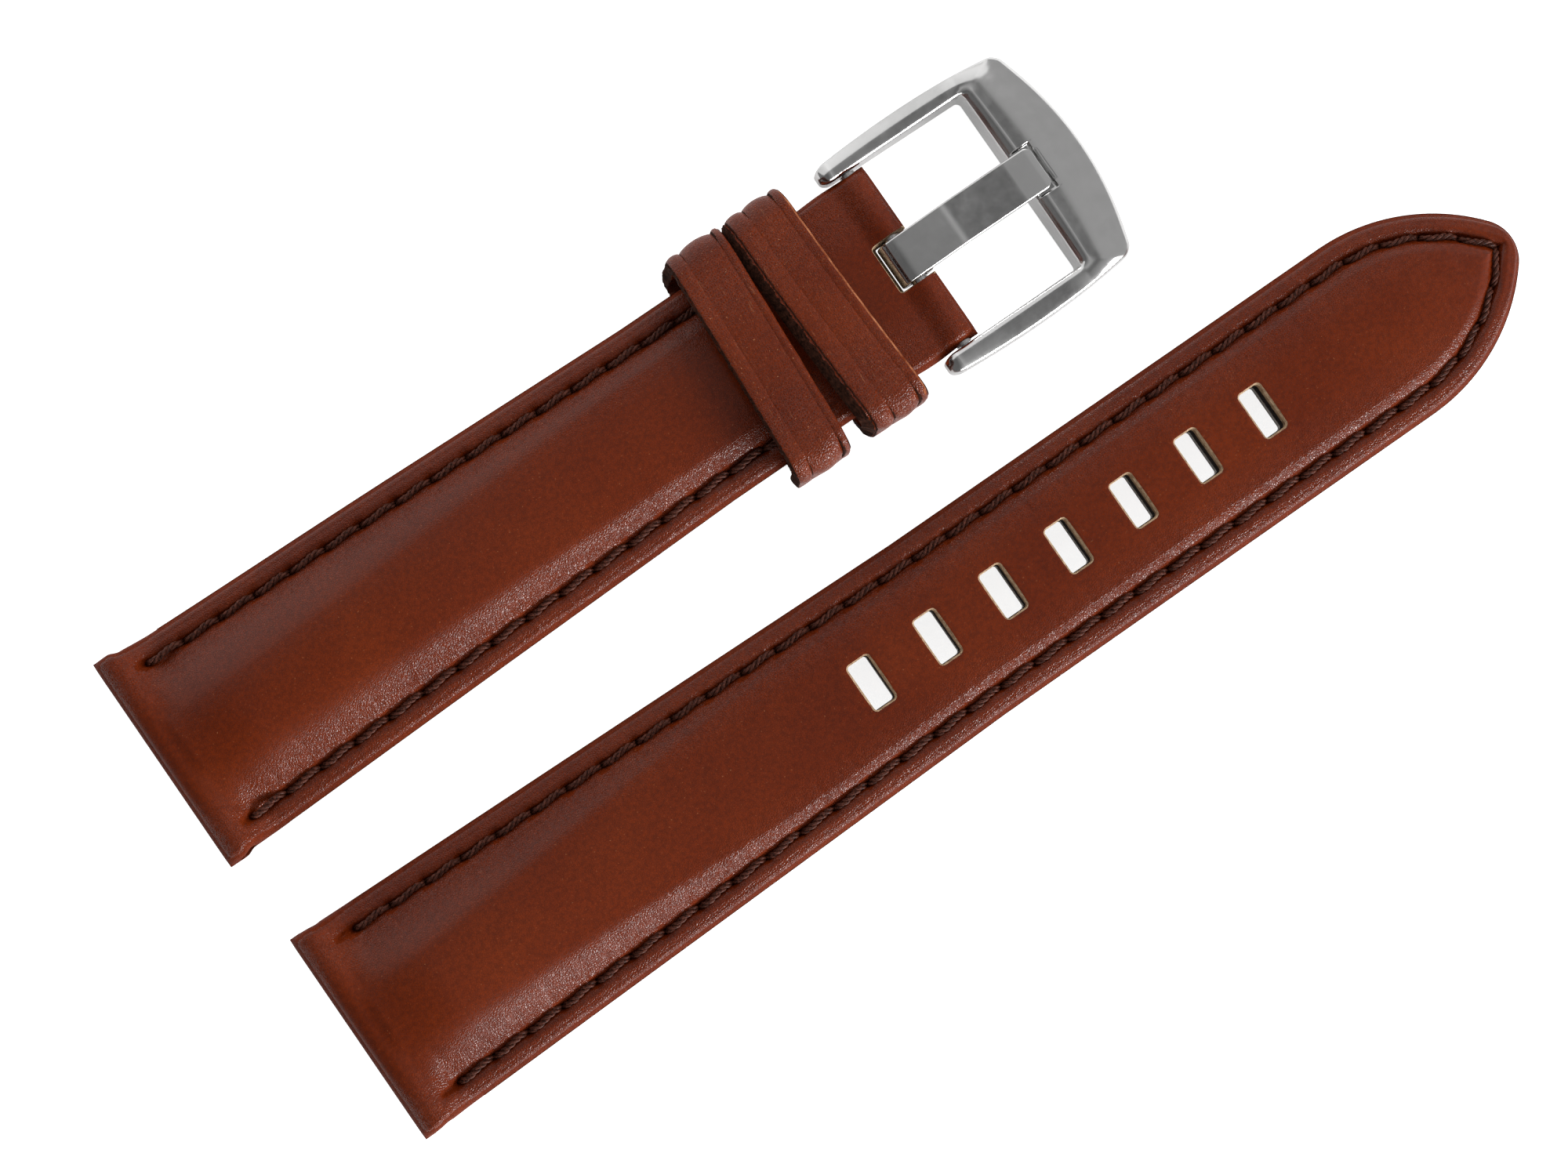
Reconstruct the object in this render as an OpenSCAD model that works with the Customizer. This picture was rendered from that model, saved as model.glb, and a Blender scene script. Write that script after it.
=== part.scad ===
// Padded leather watch strap with a tongue buckle, its two halves laid flat side by side.
// X runs along the strap away from the watch, Y across it and Z up from the table.
// The origin is the middle of the buckle half's lug bore, on the axis of its spring bar.

/* [Strap outline] */
// Width of both halves at the watch
lug_w = 19.8; // [17.5:0.1:24]
// Width of both halves past the taper
body_w = 17.4; // [15:0.1:19]
// Leather length of the buckle half, roll to roll
short_l = 77; // [72:0.5:90]
// Leather length of the hole half, roll to point
long_l = 120; // [114:0.5:140]
// Length of the taper on the buckle half
short_taper_l = 50; // [35:1:55]
// Length of the taper on the hole half
long_taper_l = 58; // [40:1:70]
// How far each corner of a lug end flares out
lug_flare = 0.3; // [0:0.05:0.6]
// Length of that flare
lug_flare_l = 2.4; // [1.5:0.1:4]
// Radius of the two side curves of the pointed tip
tip_side_r = 18.2; // [15:0.1:26]
// Radius of the rounded point
tip_nose_r = 3.5; // [2:0.1:5]
// Distance between the centre lines of the halves as they lie
pair_pitch = 27.9; // [26:0.1:60]
// How far the hole half is shifted along X
pair_shift = 0.6; // [-5:0.1:10]

/* [Leather and padding] */
// Thickness of the upper leather over the padding
skin_t = 0.9; // [0.7:0.05:1.1]
// Thickness of the lining leather
lining_t = 0.8; // [0.6:0.05:0.9]
// Thickness of the whole strap at its stitched margin
margin_t = 2.1; // [2:0.05:2.6]
// Thickness over the padding near the watch
crown_lug = 4.6; // [4:0.1:5.2]
// Thickness over the padding beside the keepers
crown_keeper = 3; // [2.7:0.1:3.4]
// Thickness over the padding along the slots and the tip
crown_tip = 2.7; // [2.5:0.1:3.2]
// Width of the padded slope near the watch
bevel_lug = 4.6; // [3:0.1:5]
// Width of the padded slope where the padding is thin
bevel_tip = 1.3; // [0.9:0.1:2.5]
// How much the middle stands above the edges of the crown
dome_h = 0.25; // [0.1:0.05:0.5]
// Distance along the hole half over which the padding thins
long_pad_taper_l = 46; // [30:1:48]
// How far the lining stays inside the turned edge
lining_inset = 0.7; // [0.5:0.05:1]
// How far the upper leather turns back under a lug end, from the bore
lug_turn_l = 4; // [3.6:0.1:5]
// How far the upper leather turns back under the tab, from the bar
tab_turn_l = 6; // [5:0.1:7]
// Thickness of the woven tape that keeps the strap from stretching
tape_t = 0.2; // [0.1:0.05:0.25]

/* [Lug rolls] */
// Outer radius of the roll that takes the watch's spring bar
lug_loop_r = 1.9; // [1.7:0.05:2.1]
// Radius of the bore in that roll
lug_bore_r = 0.95; // [0.8:0.05:1.05]

/* [Stitching] */
// Distance of the seam from the edge
seam_inset = 2.15; // [1.9:0.05:2.5]
// Length of one stitch, hole to hole
stitch_pitch = 3.5; // [3:0.1:4.2]
// How much of that length the thread spends in the holes
stitch_gap = 0.7; // [0.5:0.05:1]
// Diameter of the needle thread on top
thread_d = 0.5; // [0.4:0.02:0.54]
// Diameter of the bobbin thread below
bobbin_d = 0.34; // [0.28:0.02:0.36]
// Width of the groove that the seam pulls in
groove_w = 0.9; // [0.8:0.05:1.1]
// Depth of that groove
groove_d = 0.4; // [0.3:0.05:0.45]
// Distance from the lug bore to the first stitch
seam_start = 1.8; // [1.6:0.1:4]

/* [Slots] */
// Number of slots
slot_count = 7; // [5:1:8]
// Distance from slot to slot
slot_pitch = 6.8; // [6:0.1:7.2]
// Length of a slot across the strap
slot_l = 4.4; // [4.3:0.05:5]
// Width of a slot along the strap
slot_w = 2.1; // [1.6:0.05:2.6]
// Corner radius of a slot
slot_r = 0.3; // [0.2:0.05:0.5]
// Distance from the last slot to the point
slot_to_tip = 27.3; // [24:0.1:32]

/* [Keepers] */
// Width of a keeper along the strap
keeper_w = 5.3; // [4:0.1:5.5]
// Thickness of the keeper leather over the top and sides
keeper_t = 1.2; // [0.9:0.05:1.4]
// Thickness of a keeper where it is skived to pass below
keeper_under_t = 0.8; // [0.6:0.05:1]
// Outer corner radius of a keeper
keeper_r = 2.2; // [1.8:0.1:2.4]
// Gap between the free keeper and the strap that it slides along
keeper_gap = 0.35; // [0.3:0.05:0.6]
// Gap between the free keeper and the widest part of the strap that it reaches
keeper_side_gap = 0.6; // [0.4:0.05:0.8]
// Room over the strap for its other end to pass
tail_room = 2; // [1.6:0.1:3]
// Distance from the buckle bar back to the fixed keeper's middle
fixed_keeper_back = 8.9; // [8.4:0.1:9.2]
// Gap between the two keepers
keeper_spacing = 1.2; // [0.6:0.1:3]
// How far the free keeper slides towards the watch
keeper_travel = 24; // [10:1:26]

/* [Tab] */
// Thickness of the tab between the keepers and the buckle
tab_t = 2.3; // [2:0.05:2.6]
// Outer radius of the roll that takes the buckle's bar
tab_loop_r = 1.5; // [1.4:0.05:1.6]
// Distance from the buckle bar back to the end of the padding
pad_end_back = 12; // [11.8:0.1:14]
// Gap between the tab and each arm of the buckle
tab_side_gap = 0.2; // [0.15:0.05:0.4]
// Gap between the tongue and each side of its notch
notch_side_gap = 0.25; // [0.2:0.05:0.4]
// Gap between the tongue's curl and the back of its notch
notch_back_gap = 0.45; // [0.4:0.05:0.8]

/* [Buckle frame] */
// Width of each arm
arm_w = 2.1; // [2:0.1:2.6]
// Height of each arm at the bar
arm_h = 2.6; // [2.4:0.1:3]
// Distance from the bar to the tips of the arms
arm_tip_l = 2.5; // [2:0.1:3]
// Distance from the bar to the inner wall of the crossbar
window_l = 12; // [11:0.1:14]
// Depth of the crossbar at its middle
crossbar_l = 6.4; // [5:0.1:8]
// Radius of the crossbar's bowed outer edge
bow_r = 31; // [26:0.5:60]
// Radius of the slightly bulged outer sides
side_bow_r = 90; // [70:5:300]
// Height of the crossbar's crest over the table
crest_h = 4.3; // [4.2:0.1:4.8]
// Height of the crossbar's outer edge over the table
lip_h = 2.3; // [1.8:0.1:2.8]
// Radius of the dome across the crossbar
dome_r = 120; // [90:5:300]
// Distance from the inner wall to the crest
crest_l = 2.4; // [2:0.1:3]
// Radius of the window's inner corners
window_r = 0.5; // [0.3:0.05:0.9]
// Depth of the rest for the tongue in the crossbar
rest_d = 0.45; // [0.3:0.05:0.6]

/* [Tongue] */
// Width of the tongue
tongue_w = 4; // [3.6:0.1:4.2]
// Thickness of the tongue
tongue_t = 0.8; // [0.6:0.05:0.9]
// How far the tongue reaches over the crossbar
tongue_reach = 1.8; // [1.4:0.1:2.4]
// Distance from the bar to the tongue's first bend
tongue_bend_1 = 4.7; // [4:0.1:5.5]
// Distance from the bar to the tongue's second bend
tongue_bend_2 = 10.9; // [10:0.1:11]
// How far the first bend stands above the tongue's tip
tongue_arch = 0.2; // [0.05:0.05:0.5]
// Corner radius at the tip
tongue_r = 0.6; // [0.3:0.05:1]
// Gap between the tongue and its rest
tongue_rest_gap = 0.1; // [0.05:0.05:0.2]

/* [Spring bar] */
// Outer radius of the spring bar's tube
bar_r = 0.75; // [0.7:0.01:0.78]
// Wall of the tube
bar_wall = 0.22; // [0.18:0.01:0.25]
// Running clearance round the bar
bar_gap = 0.05; // [0.03:0.01:0.08]
// Radius of a tip in its blind hole
tip_r = 0.4; // [0.35:0.01:0.45]
// Running clearance round a tip
tip_gap = 0.05; // [0.03:0.01:0.08]
// How far a tip enters its arm
tip_in = 1.1; // [0.8:0.05:1.2]
// How far a tip can be pushed in
tip_travel = 1.15; // [0.9:0.05:1.3]
// Thickness of the flange behind a tip
flange_t = 0.35; // [0.25:0.05:0.5]
// Radius of the wire of the spring in the tube
wire_r = 0.1; // [0.08:0.01:0.11]
// Number of turns of that spring
spring_turns = 10; // [6:1:12]

/* [Hidden] */
$fn = 72;

// Cuts run this far past the faces that they open
past = 1;
// Points nearer than this are one point
same = 0.0001;

// Levels and places that follow from the sizes above
table_z = -lug_loop_r;
short_rise = keeper_under_t + keeper_gap;
rise_start = 2;
rise_l = 26;
bar_x = short_l - lug_loop_r - tab_loop_r;
bar_z = table_z + short_rise + tab_loop_r;
pad_end = bar_x - pad_end_back;
lining_end = bar_x - tab_turn_l;
bar_bore_r = bar_r + bar_gap;
fixed_keeper_x = bar_x - fixed_keeper_back;
free_keeper_x = fixed_keeper_x - keeper_w - keeper_spacing;
long_end = long_l - lug_loop_r;
first_slot_x = long_end - slot_to_tip - (slot_count - 1) * slot_pitch;

// Blends of the roll at each end into the strap
lug_blend_l = 3.4;
crown_blend_l = 7;
tab_blend_l = 2.2;
pad_blend_l = 2.6;
seam_run_in = 0.8;

// Insets of the turned edge's round and of the padding's foot
edge_under = 0.35;
edge_top = 0.6;
edge_shoulder = 0.2;
slope_foot = seam_inset + groove_w / 2;
pad_foot = slope_foot + 0.25;
foot_slope = 0.2;

// Where the padded slope has its shoulder: a share of its width and of its height
shoulder_at_w = 0.65;
shoulder_at_h = 0.85;

function mix(a, b, t) = a + (b - a) * t;
function smooth(t) = let(u = min(1, max(0, t))) u * u * (3 - 2 * u);

// Half width, base and thickness along each half
function taper_w(x, taper_l) = mix(lug_w, body_w, min(1, max(0, x / taper_l))) / 2;
function flare(x) = lug_flare * (1 - smooth((x + lug_loop_r) / lug_flare_l));
function short_w(x) = taper_w(x, short_taper_l) + flare(x);
function long_w(x) = taper_w(x, long_taper_l) + flare(x) / 3;
function short_base(x) = table_z + short_rise * smooth((x - rise_start) / rise_l);
function long_base(x) = table_z;
function short_crown(x) = mix(crown_lug, crown_keeper, smooth(x / pad_end));
function long_crown(x) = mix(crown_lug, crown_tip, smooth(x / long_pad_taper_l));
function short_bevel(x) = mix(bevel_lug, bevel_tip, smooth(x / pad_end));
function long_bevel(x) = mix(bevel_lug, bevel_tip, smooth(x / long_pad_taper_l));

// Bottom and top of the leather near a roll, over the base that the strap lies on
function roll_h(over, r) = sqrt(max(0, r * r - over * over));
function bottom_at(x, tab) =
    x < 0 ? lug_loop_r - roll_h(x, lug_loop_r)
    : tab && x > bar_x ? tab_loop_r - roll_h(x - bar_x, tab_loop_r)
    : 0;
function top_at(x, tab, full, blend_l) =
    x < 0 ? lug_loop_r + roll_h(x, lug_loop_r)
    : tab && x > bar_x ? tab_loop_r + roll_h(x - bar_x, tab_loop_r)
    : tab && x > bar_x - tab_blend_l
        ? mix(tab_t, 2 * tab_loop_r, smooth((x - bar_x) / tab_blend_l + 1))
    : tab && x > pad_end - pad_blend_l
        ? mix(full, tab_t, smooth((x - pad_end) / pad_blend_l + 1))
    : mix(2 * lug_loop_r, full, smooth(x / blend_l));
function groove_at(x, tab) =
    groove_d * smooth((x - seam_start) / seam_run_in + 1)
    * (tab ? 1 - smooth((x - pad_end) / pad_blend_l + 1) : 1);

// Tip outline at an inset: two side curves and a round nose that sharpens inwards
shoulder_x = long_end - tip_nose_r
    - sqrt(pow(tip_side_r - tip_nose_r, 2) - pow(tip_side_r - body_w / 2, 2));
drop = tip_side_r - body_w / 2;
side_steps = 8;
nose_steps = 4;
function nose_at(d) = tip_nose_r * max(0, 1 - d / (seam_inset - groove_w / 2));
function turn_at(d) = acos(drop / (tip_side_r - d - nose_at(d)));
function nose_x(d) = shoulder_x + (tip_side_r - d - nose_at(d)) * sin(turn_at(d));
function tip_point(d, k) =
    k < side_steps
    ? let(a = turn_at(d) * k / side_steps)
        [shoulder_x + (tip_side_r - d) * sin(a), (tip_side_r - d) * cos(a) - drop]
    : let(a = mix(turn_at(d), 90, (k - side_steps) / nose_steps))
        [nose_x(d) + nose_at(d) * sin(a), nose_at(d) * max(0, cos(a))];
function point_at(x, k, w, d) = k > 0 ? tip_point(d, k) : [x, w - d];

// Stations along a half: [x, step round the tip, whether lining lies below, whether padding does]
function spread(a, b, n) = [for (i = [0:n]) mix(a, b, i / n)];
pad_stop = pad_end - pad_blend_l;
lug_stations = concat(
    [for (a = [18, 40, 64]) [-lug_loop_r * cos(a), 0, false, false]],
    [for (x = spread(0, lug_turn_l, 4)) [x, 0, false, false]]
);
short_stations = concat(
    lug_stations,
    [for (x = spread(lug_turn_l, pad_stop, 13)) [x, 0, true, true]],
    [for (x = concat(spread(pad_stop, pad_end, 2), spread(mix(pad_end, lining_end, 0.5), lining_end, 1)))
        [x, 0, true, false]],
    [for (x = concat([lining_end], spread(bar_x - tab_blend_l, bar_x, 2))) [x, 0, false, false]],
    [for (a = [26, 50, 72]) [bar_x + tab_loop_r * sin(a), 0, false, false]]
);
long_stations = concat(
    lug_stations,
    [for (x = spread(lug_turn_l, first_slot_x - slot_pitch / 2, 10)) [x, 0, true, true]],
    [for (i = [1:slot_count]) [first_slot_x + (i - 0.5) * slot_pitch, 0, true, true]],
    [[shoulder_x, 0, true, true]],
    [for (k = [1:side_steps + nose_steps]) [shoulder_x, k, true, true]]
);

// Levels of a section over its base: padding at its foot, its shoulder and its crown
function foot_at(margin) = max(lining_t + tape_t + 0.1, margin - skin_t);
function shoulder_at(margin, crown) = max(foot_at(margin) + 0.05, mix(margin, crown, shoulder_at_h) - skin_t);
function ridge_at(margin, crown) = max(shoulder_at(margin, crown) + 0.02, crown - skin_t);
function dome_at(margin, crown) = dome_h * min(1, max(0, crown - margin) / 0.4);

// A closed section from half of it, given as [inset, level] from the bottom middle to the top middle
function mirrored(s, w, base, low_mid, half, top_mid) =
    let(
        low_x = point_at(s[0], s[1], w, half[0][0])[0],
        top_x = point_at(s[0], s[1], w, half[len(half) - 1][0])[0],
        side = [for (p = half) let(q = point_at(s[0], s[1], w, p[0])) [q[0], q[1], base + p[1]]]
    )
    concat(
        [[low_x, 0, base + low_mid]],
        side,
        [[top_x, 0, base + top_mid]],
        [for (i = [len(side) - 1:-1:0]) [side[i][0], -side[i][1], side[i][2]]]
    );

// The upper leather: its underside over the padding, its turned edge, the seam's groove and the crown
function skin_row(s, w, base, bevel, margin, crown, bottom, groove) =
    let(
        low = s[2] ? lining_t : bottom,
        hollow = s[3],
        ridge = slope_foot + bevel,
        shoulder = slope_foot + shoulder_at_w * bevel
    )
    mirrored(s, w, base,
        hollow ? ridge_at(margin, crown) + dome_at(margin, crown) : low,
        [
            [ridge, hollow ? ridge_at(margin, crown) : low],
            [shoulder, hollow ? shoulder_at(margin, crown) : low],
            [pad_foot + foot_slope, hollow ? foot_at(margin) : low],
            hollow ? [pad_foot, lining_t + tape_t] : [pad_foot + foot_slope / 2, low],
            [s[2] ? pad_foot : pad_foot - foot_slope / 2, low],
            [edge_under, low],
            [0, mix(bottom, margin, 0.45)],
            [0, mix(bottom, margin, 0.72)],
            [edge_shoulder, mix(bottom, margin, 0.94)],
            [edge_top, margin],
            [seam_inset - groove_w / 2, margin],
            [seam_inset, margin - groove],
            [slope_foot, margin],
            [slope_foot + 0.3 * bevel, mix(margin, crown, 0.42)],
            [shoulder, mix(margin, crown, shoulder_at_h)],
            [ridge, crown]
        ],
        crown + dome_at(margin, crown));

// The padding fills the upper leather down to the tape
function padding_row(s, w, base, bevel, margin, crown) =
    mirrored(s, w, base, lining_t + tape_t,
        [
            [pad_foot, lining_t + tape_t],
            [pad_foot + foot_slope, foot_at(margin)],
            [slope_foot + shoulder_at_w * bevel, shoulder_at(margin, crown)],
            [slope_foot + bevel, ridge_at(margin, crown)]
        ],
        ridge_at(margin, crown) + dome_at(margin, crown));

function short_margin(x) = top_at(x, true, margin_t, lug_blend_l);
function short_top(x) = top_at(x, true, short_crown(x), crown_blend_l);
function long_margin(x) = top_at(x, false, margin_t, lug_blend_l);
function long_top(x) = top_at(x, false, long_crown(x), crown_blend_l);

function short_skin_row(s) = let(x = s[0])
    skin_row(s, short_w(x), short_base(x), short_bevel(x), short_margin(x), short_top(x),
        bottom_at(x, true), groove_at(x, true));
function long_skin_row(s) = let(x = s[0])
    skin_row(s, long_w(x), long_base(x), long_bevel(x), long_margin(x), long_top(x),
        bottom_at(x, false), groove_at(x, false));
function short_padding_row(s) = let(x = s[0])
    padding_row(s, short_w(x), short_base(x), short_bevel(x), short_margin(x), short_top(x));
function long_padding_row(s) = let(x = s[0])
    padding_row(s, long_w(x), long_base(x), long_bevel(x), long_margin(x), long_top(x));

// The tape: a flat layer between the lining and the padding
function short_tape_row(s) = let(y = short_w(s[0]) - pad_foot, b = short_base(s[0]) + lining_t)
    [[s[0], -y, b], [s[0], y, b], [s[0], y, b + tape_t], [s[0], -y, b + tape_t]];

// The lining of the buckle half, with a channel along each seam: bottom points, then top points back
channel_slope = 0.05;
function lining_row(s) = let(
        x = s[0],
        b = short_base(x),
        edge = short_w(x) - lining_inset,
        seam = short_w(x) - seam_inset,
        half = [
            [edge, 0],
            [seam + channel_w / 2, 0],
            [seam + channel_w / 2 - channel_slope, channel_d],
            [seam - channel_w / 2 + channel_slope, channel_d],
            [seam - channel_w / 2, 0]
        ],
        across = concat([for (p = half) [-p[0], p[1]]], [for (i = [4:-1:0]) half[i]])
    )
    concat([for (p = across) [x, p[0], b + p[1]]], [for (i = [9:-1:0]) [x, across[i][0], b + lining_t]]);

// Skins a list of cross-sections and closes its ends, round a middle point or in strips.
// A last section that has drawn in to a line is closed already. A filling that is listed the other
// way round than the hollow that it fills splits its four-sided faces the other way, to lie flat on it.
function apart(p, t) = norm(p[t[0]] - p[t[1]]) > same && norm(p[t[1]] - p[t[2]]) > same
    && norm(p[t[2]] - p[t[0]]) > same;
function is_line(row) = max([for (p = row) abs(p[1])]) < same;
function middle(row) = [for (i = [0:2]) (min([for (p = row) p[i]]) + max([for (p = row) p[i]])) / 2];
module loft(rows, strips = false, filling = false) {
    n = len(rows[0]);
    last = (len(rows) - 1) * n;
    centre = last + n;
    points = concat([for (r = rows) each r], [middle(rows[0]), middle(rows[len(rows) - 1])]);
    walls = [for (i = [0:len(rows) - 2]) for (j = [0:n - 1])
        let(a = i * n + j, b = i * n + (j + 1) % n)
        each filling ? [[a, a + n, b], [a + n, b + n, b]] : [[a, b + n, b], [a, a + n, b + n]]];
    ends = [0, if (!is_line(rows[len(rows) - 1])) last];
    caps = strips
        ? [for (j = [0:n / 2 - 2]) let(t = n - 1 - j)
            each [[j, j + 1, t], [j + 1, t - 1, t], [last + j, last + t, last + j + 1],
                [last + j + 1, last + t, last + t - 1]]]
        : [for (j = [0:n - 1]) let(k = (j + 1) % n) for (e = ends)
            e == 0 ? [centre, j, k] : [centre + 1, last + k, last + j]];
    polyhedron(points, [for (t = concat(walls, caps)) if (apart(points, t)) t]);
}

// A bar along Y
module cross_bore(x, z, r, y0, y1) {
    translate([x, y1, z]) rotate([90, 0, 0]) cylinder(h = y1 - y0, r = r);
}

// A rectangle with round corners, centred
module rounded(l, w, r) {
    square([l - 2 * r, w], center = true);
    square([l, w - 2 * r], center = true);
    for (x = [-1, 1], y = [-1, 1]) translate([x * (l / 2 - r), y * (w / 2 - r)]) circle(r);
}

// Stitches: round bars from hole to hole along a seam, given as a list of end points
module stitch(p, q, d) {
    run = q - p;
    flat = norm([run[0], run[1]]);
    translate(p) rotate([0, 90 - atan2(run[2], flat), atan2(run[1], run[0])]) cylinder(h = norm(run), d = d);
}
module seam(points, d) {
    for (i = [0:len(points) - 2])
        let(a = points[i], b = points[i + 1], cut = stitch_gap / 2 / norm(b - a))
        stitch(mix(a, b, cut), mix(a, b, 1 - cut), d);
}

// Height of the needle thread's axis over a margin, resting in the groove
thread_sit = thread_d / 2 / sin(atan2(groove_w / 2, groove_d)) + 0.1 - groove_d;
channel_w = bobbin_d + 0.3;
channel_d = bobbin_d + 0.06;
bobbin_sit = bobbin_d / 2 + 0.03;
short_stitches = floor((pad_end - pad_blend_l - seam_start) / stitch_pitch);

function short_seam(side, low) = [for (i = [0:short_stitches])
    let(x = seam_start + i * stitch_pitch)
    [x, side * (short_w(x) - seam_inset),
        short_base(x) + (low ? bobbin_sit : short_margin(x) + thread_sit)]];

// The hole half's seam, by its length from the point of the tip
seam_arc_r = tip_side_r - seam_inset;
seam_turn = turn_at(seam_inset);
seam_arc_l = seam_arc_r * seam_turn * PI / 180;
function long_seam_xy(s) =
    s < seam_arc_l
    ? let(a = seam_turn - s / seam_arc_r * 180 / PI)
        [shoulder_x + seam_arc_r * sin(a), seam_arc_r * cos(a) - drop]
    : let(x = shoulder_x - (s - seam_arc_l)) [x, long_w(x) - seam_inset];
long_stitches = floor((seam_arc_l + shoulder_x - seam_start) / stitch_pitch);
function long_seam(side, low) = [for (i = [0:long_stitches])
    let(q = long_seam_xy(i * stitch_pitch))
    [q[0], side * q[1],
        table_z + (low ? bobbin_sit : long_margin(q[0]) + thread_sit)]];

// The outline of the hole half at an inset, from its turned-back end to the tip
function long_outline(d, x0) = let(
        half = concat(
            [[x0, long_w(x0) - d], [long_taper_l, body_w / 2 - d]],
            [for (k = [0:side_steps + nose_steps]) tip_point(d, k)]
        ),
        n = len(half)
    )
    concat(half, [for (i = [n - 1:-1:0]) if (half[i][1] > same) [half[i][0], -half[i][1]]]);

module lay_long() {
    translate([pair_shift, -pair_pitch, 0]) children();
}

module slots() {
    for (i = [0:slot_count - 1]) translate([first_slot_x + i * slot_pitch, 0, table_z - past])
        linear_extrude(crown_tip + dome_h + 2 * past) rounded(slot_w, slot_l, slot_r);
}

module notch() {
    l = tab_loop_r + bar_bore_r + tongue_t + notch_back_gap;
    translate([bar_x + tab_loop_r - l, -tongue_w / 2 - notch_side_gap, table_z])
        cube([l + past, tongue_w + 2 * notch_side_gap, short_rise + 2 * tab_loop_r + past]);
}

module short_upper_leather() {
    color("saddlebrown") difference() {
        loft([for (s = short_stations) short_skin_row(s)]);
        cross_bore(0, 0, lug_bore_r, -lug_w, lug_w);
        cross_bore(bar_x, bar_z, bar_bore_r, -lug_w, lug_w);
        notch();
    }
}

module short_padding() {
    color("wheat") loft([for (s = short_stations) if (s[3]) short_padding_row(s)], filling = true);
}

module short_reinforcement() {
    color("whitesmoke") loft([for (s = short_stations) if (s[3]) short_tape_row(s)]);
}

module short_lining() {
    color("#3a2418") loft([for (s = short_stations) if (s[2]) lining_row(s)], strips = true);
}

module short_needle_thread() {
    color("#2e1712") for (side = [-1, 1]) seam(short_seam(side, false), thread_d);
}

module short_bobbin_thread() {
    color("#2e1712") for (side = [-1, 1])
        seam([for (p = short_seam(side, true)) if (p[0] > lug_turn_l + 0.3) p], bobbin_d);
}

module long_upper_leather() {
    color("saddlebrown") lay_long() difference() {
        loft([for (s = long_stations) long_skin_row(s)]);
        slots();
        cross_bore(0, 0, lug_bore_r, -lug_w, lug_w);
    }
}

module long_padding() {
    color("wheat") lay_long() difference() {
        loft([for (s = long_stations) if (s[3]) long_padding_row(s)], filling = true);
        slots();
    }
}

module long_reinforcement() {
    color("whitesmoke") lay_long() difference() {
        translate([0, 0, table_z + lining_t]) linear_extrude(tape_t)
            polygon(long_outline(pad_foot, lug_turn_l));
        slots();
    }
}

module long_lining() {
    color("#3a2418") lay_long() difference() {
        translate([0, 0, table_z]) linear_extrude(lining_t) polygon(long_outline(lining_inset, lug_turn_l));
        translate([0, 0, table_z - past]) linear_extrude(past + channel_d) difference() {
            polygon(long_outline(seam_inset - channel_w / 2, lug_turn_l - past));
            polygon(long_outline(seam_inset + channel_w / 2, lug_turn_l - 2 * past));
        }
        slots();
    }
}

module long_needle_thread() {
    color("#2e1712") lay_long() for (side = [-1, 1]) seam(long_seam(side, false), thread_d);
}

module long_bobbin_thread() {
    color("#2e1712") lay_long() for (side = [-1, 1])
        seam([for (p = long_seam(side, true)) if (p[0] > lug_turn_l + 0.3) p], bobbin_d);
}

// Keepers: bands of thick leather, skived where they pass below the strap
keeper_in_w = 2 * (short_w(free_keeper_x - keeper_travel - keeper_w / 2) + keeper_side_gap);
keeper_in_h = keeper_gap + crown_keeper + tail_room;
module keeper(x, under_t) {
    in_h = keeper_in_h + keeper_under_t - under_t;
    out_h = under_t + in_h + keeper_t;
    out_w = keeper_in_w + 2 * keeper_t;
    translate([x - keeper_w / 2, 0, table_z]) rotate([90, 0, 90]) linear_extrude(keeper_w) difference() {
        translate([0, out_h / 2]) rounded(out_w, out_h, keeper_r);
        translate([0, under_t + in_h / 2]) rounded(keeper_in_w, in_h, keeper_r - keeper_t);
    }
}

module fixed_keeper() {
    color("sienna") keeper(fixed_keeper_x, short_rise);
}

module free_keeper() {
    color("sienna") keeper(free_keeper_x, keeper_under_t);
}

// Buckle frame
frame_in_w = body_w + 2 * tab_side_gap;
frame_out_w = frame_in_w + 2 * arm_w;
frame_end = bar_x + window_l + crossbar_l;
crest_x = bar_x + window_l + crest_l;
crest_z = table_z + crest_h;
arm_top_z = bar_z + arm_h / 2;
arm_low_z = bar_z - arm_h / 2;
arm_tip_x = bar_x - arm_tip_l;
rest_w = tongue_w + 2 * notch_side_gap;
rest_l = tongue_reach + 0.3;
corner_r = 0.9;

// Plan of the frame: bowed outer sides and edge, and a window that is open to the strap
module frame_plan() {
    difference() {
        intersection() {
            translate([frame_end - bow_r, 0]) circle(bow_r, $fn = 240);
            for_plan_side(1);
            for_plan_side(-1);
            translate([arm_tip_x, -frame_out_w / 2])
                square([frame_end - arm_tip_x, frame_out_w]);
        }
        window_plan();
    }
}
module for_plan_side(side) {
    translate([bar_x + window_l / 2, side * (frame_out_w / 2 - side_bow_r)]) circle(side_bow_r, $fn = 240);
}
module window_plan() {
    l = window_l + arm_tip_l + 4 * past;
    translate([bar_x + window_l - l / 2, 0]) rounded(l, frame_in_w, window_r);
}

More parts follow.
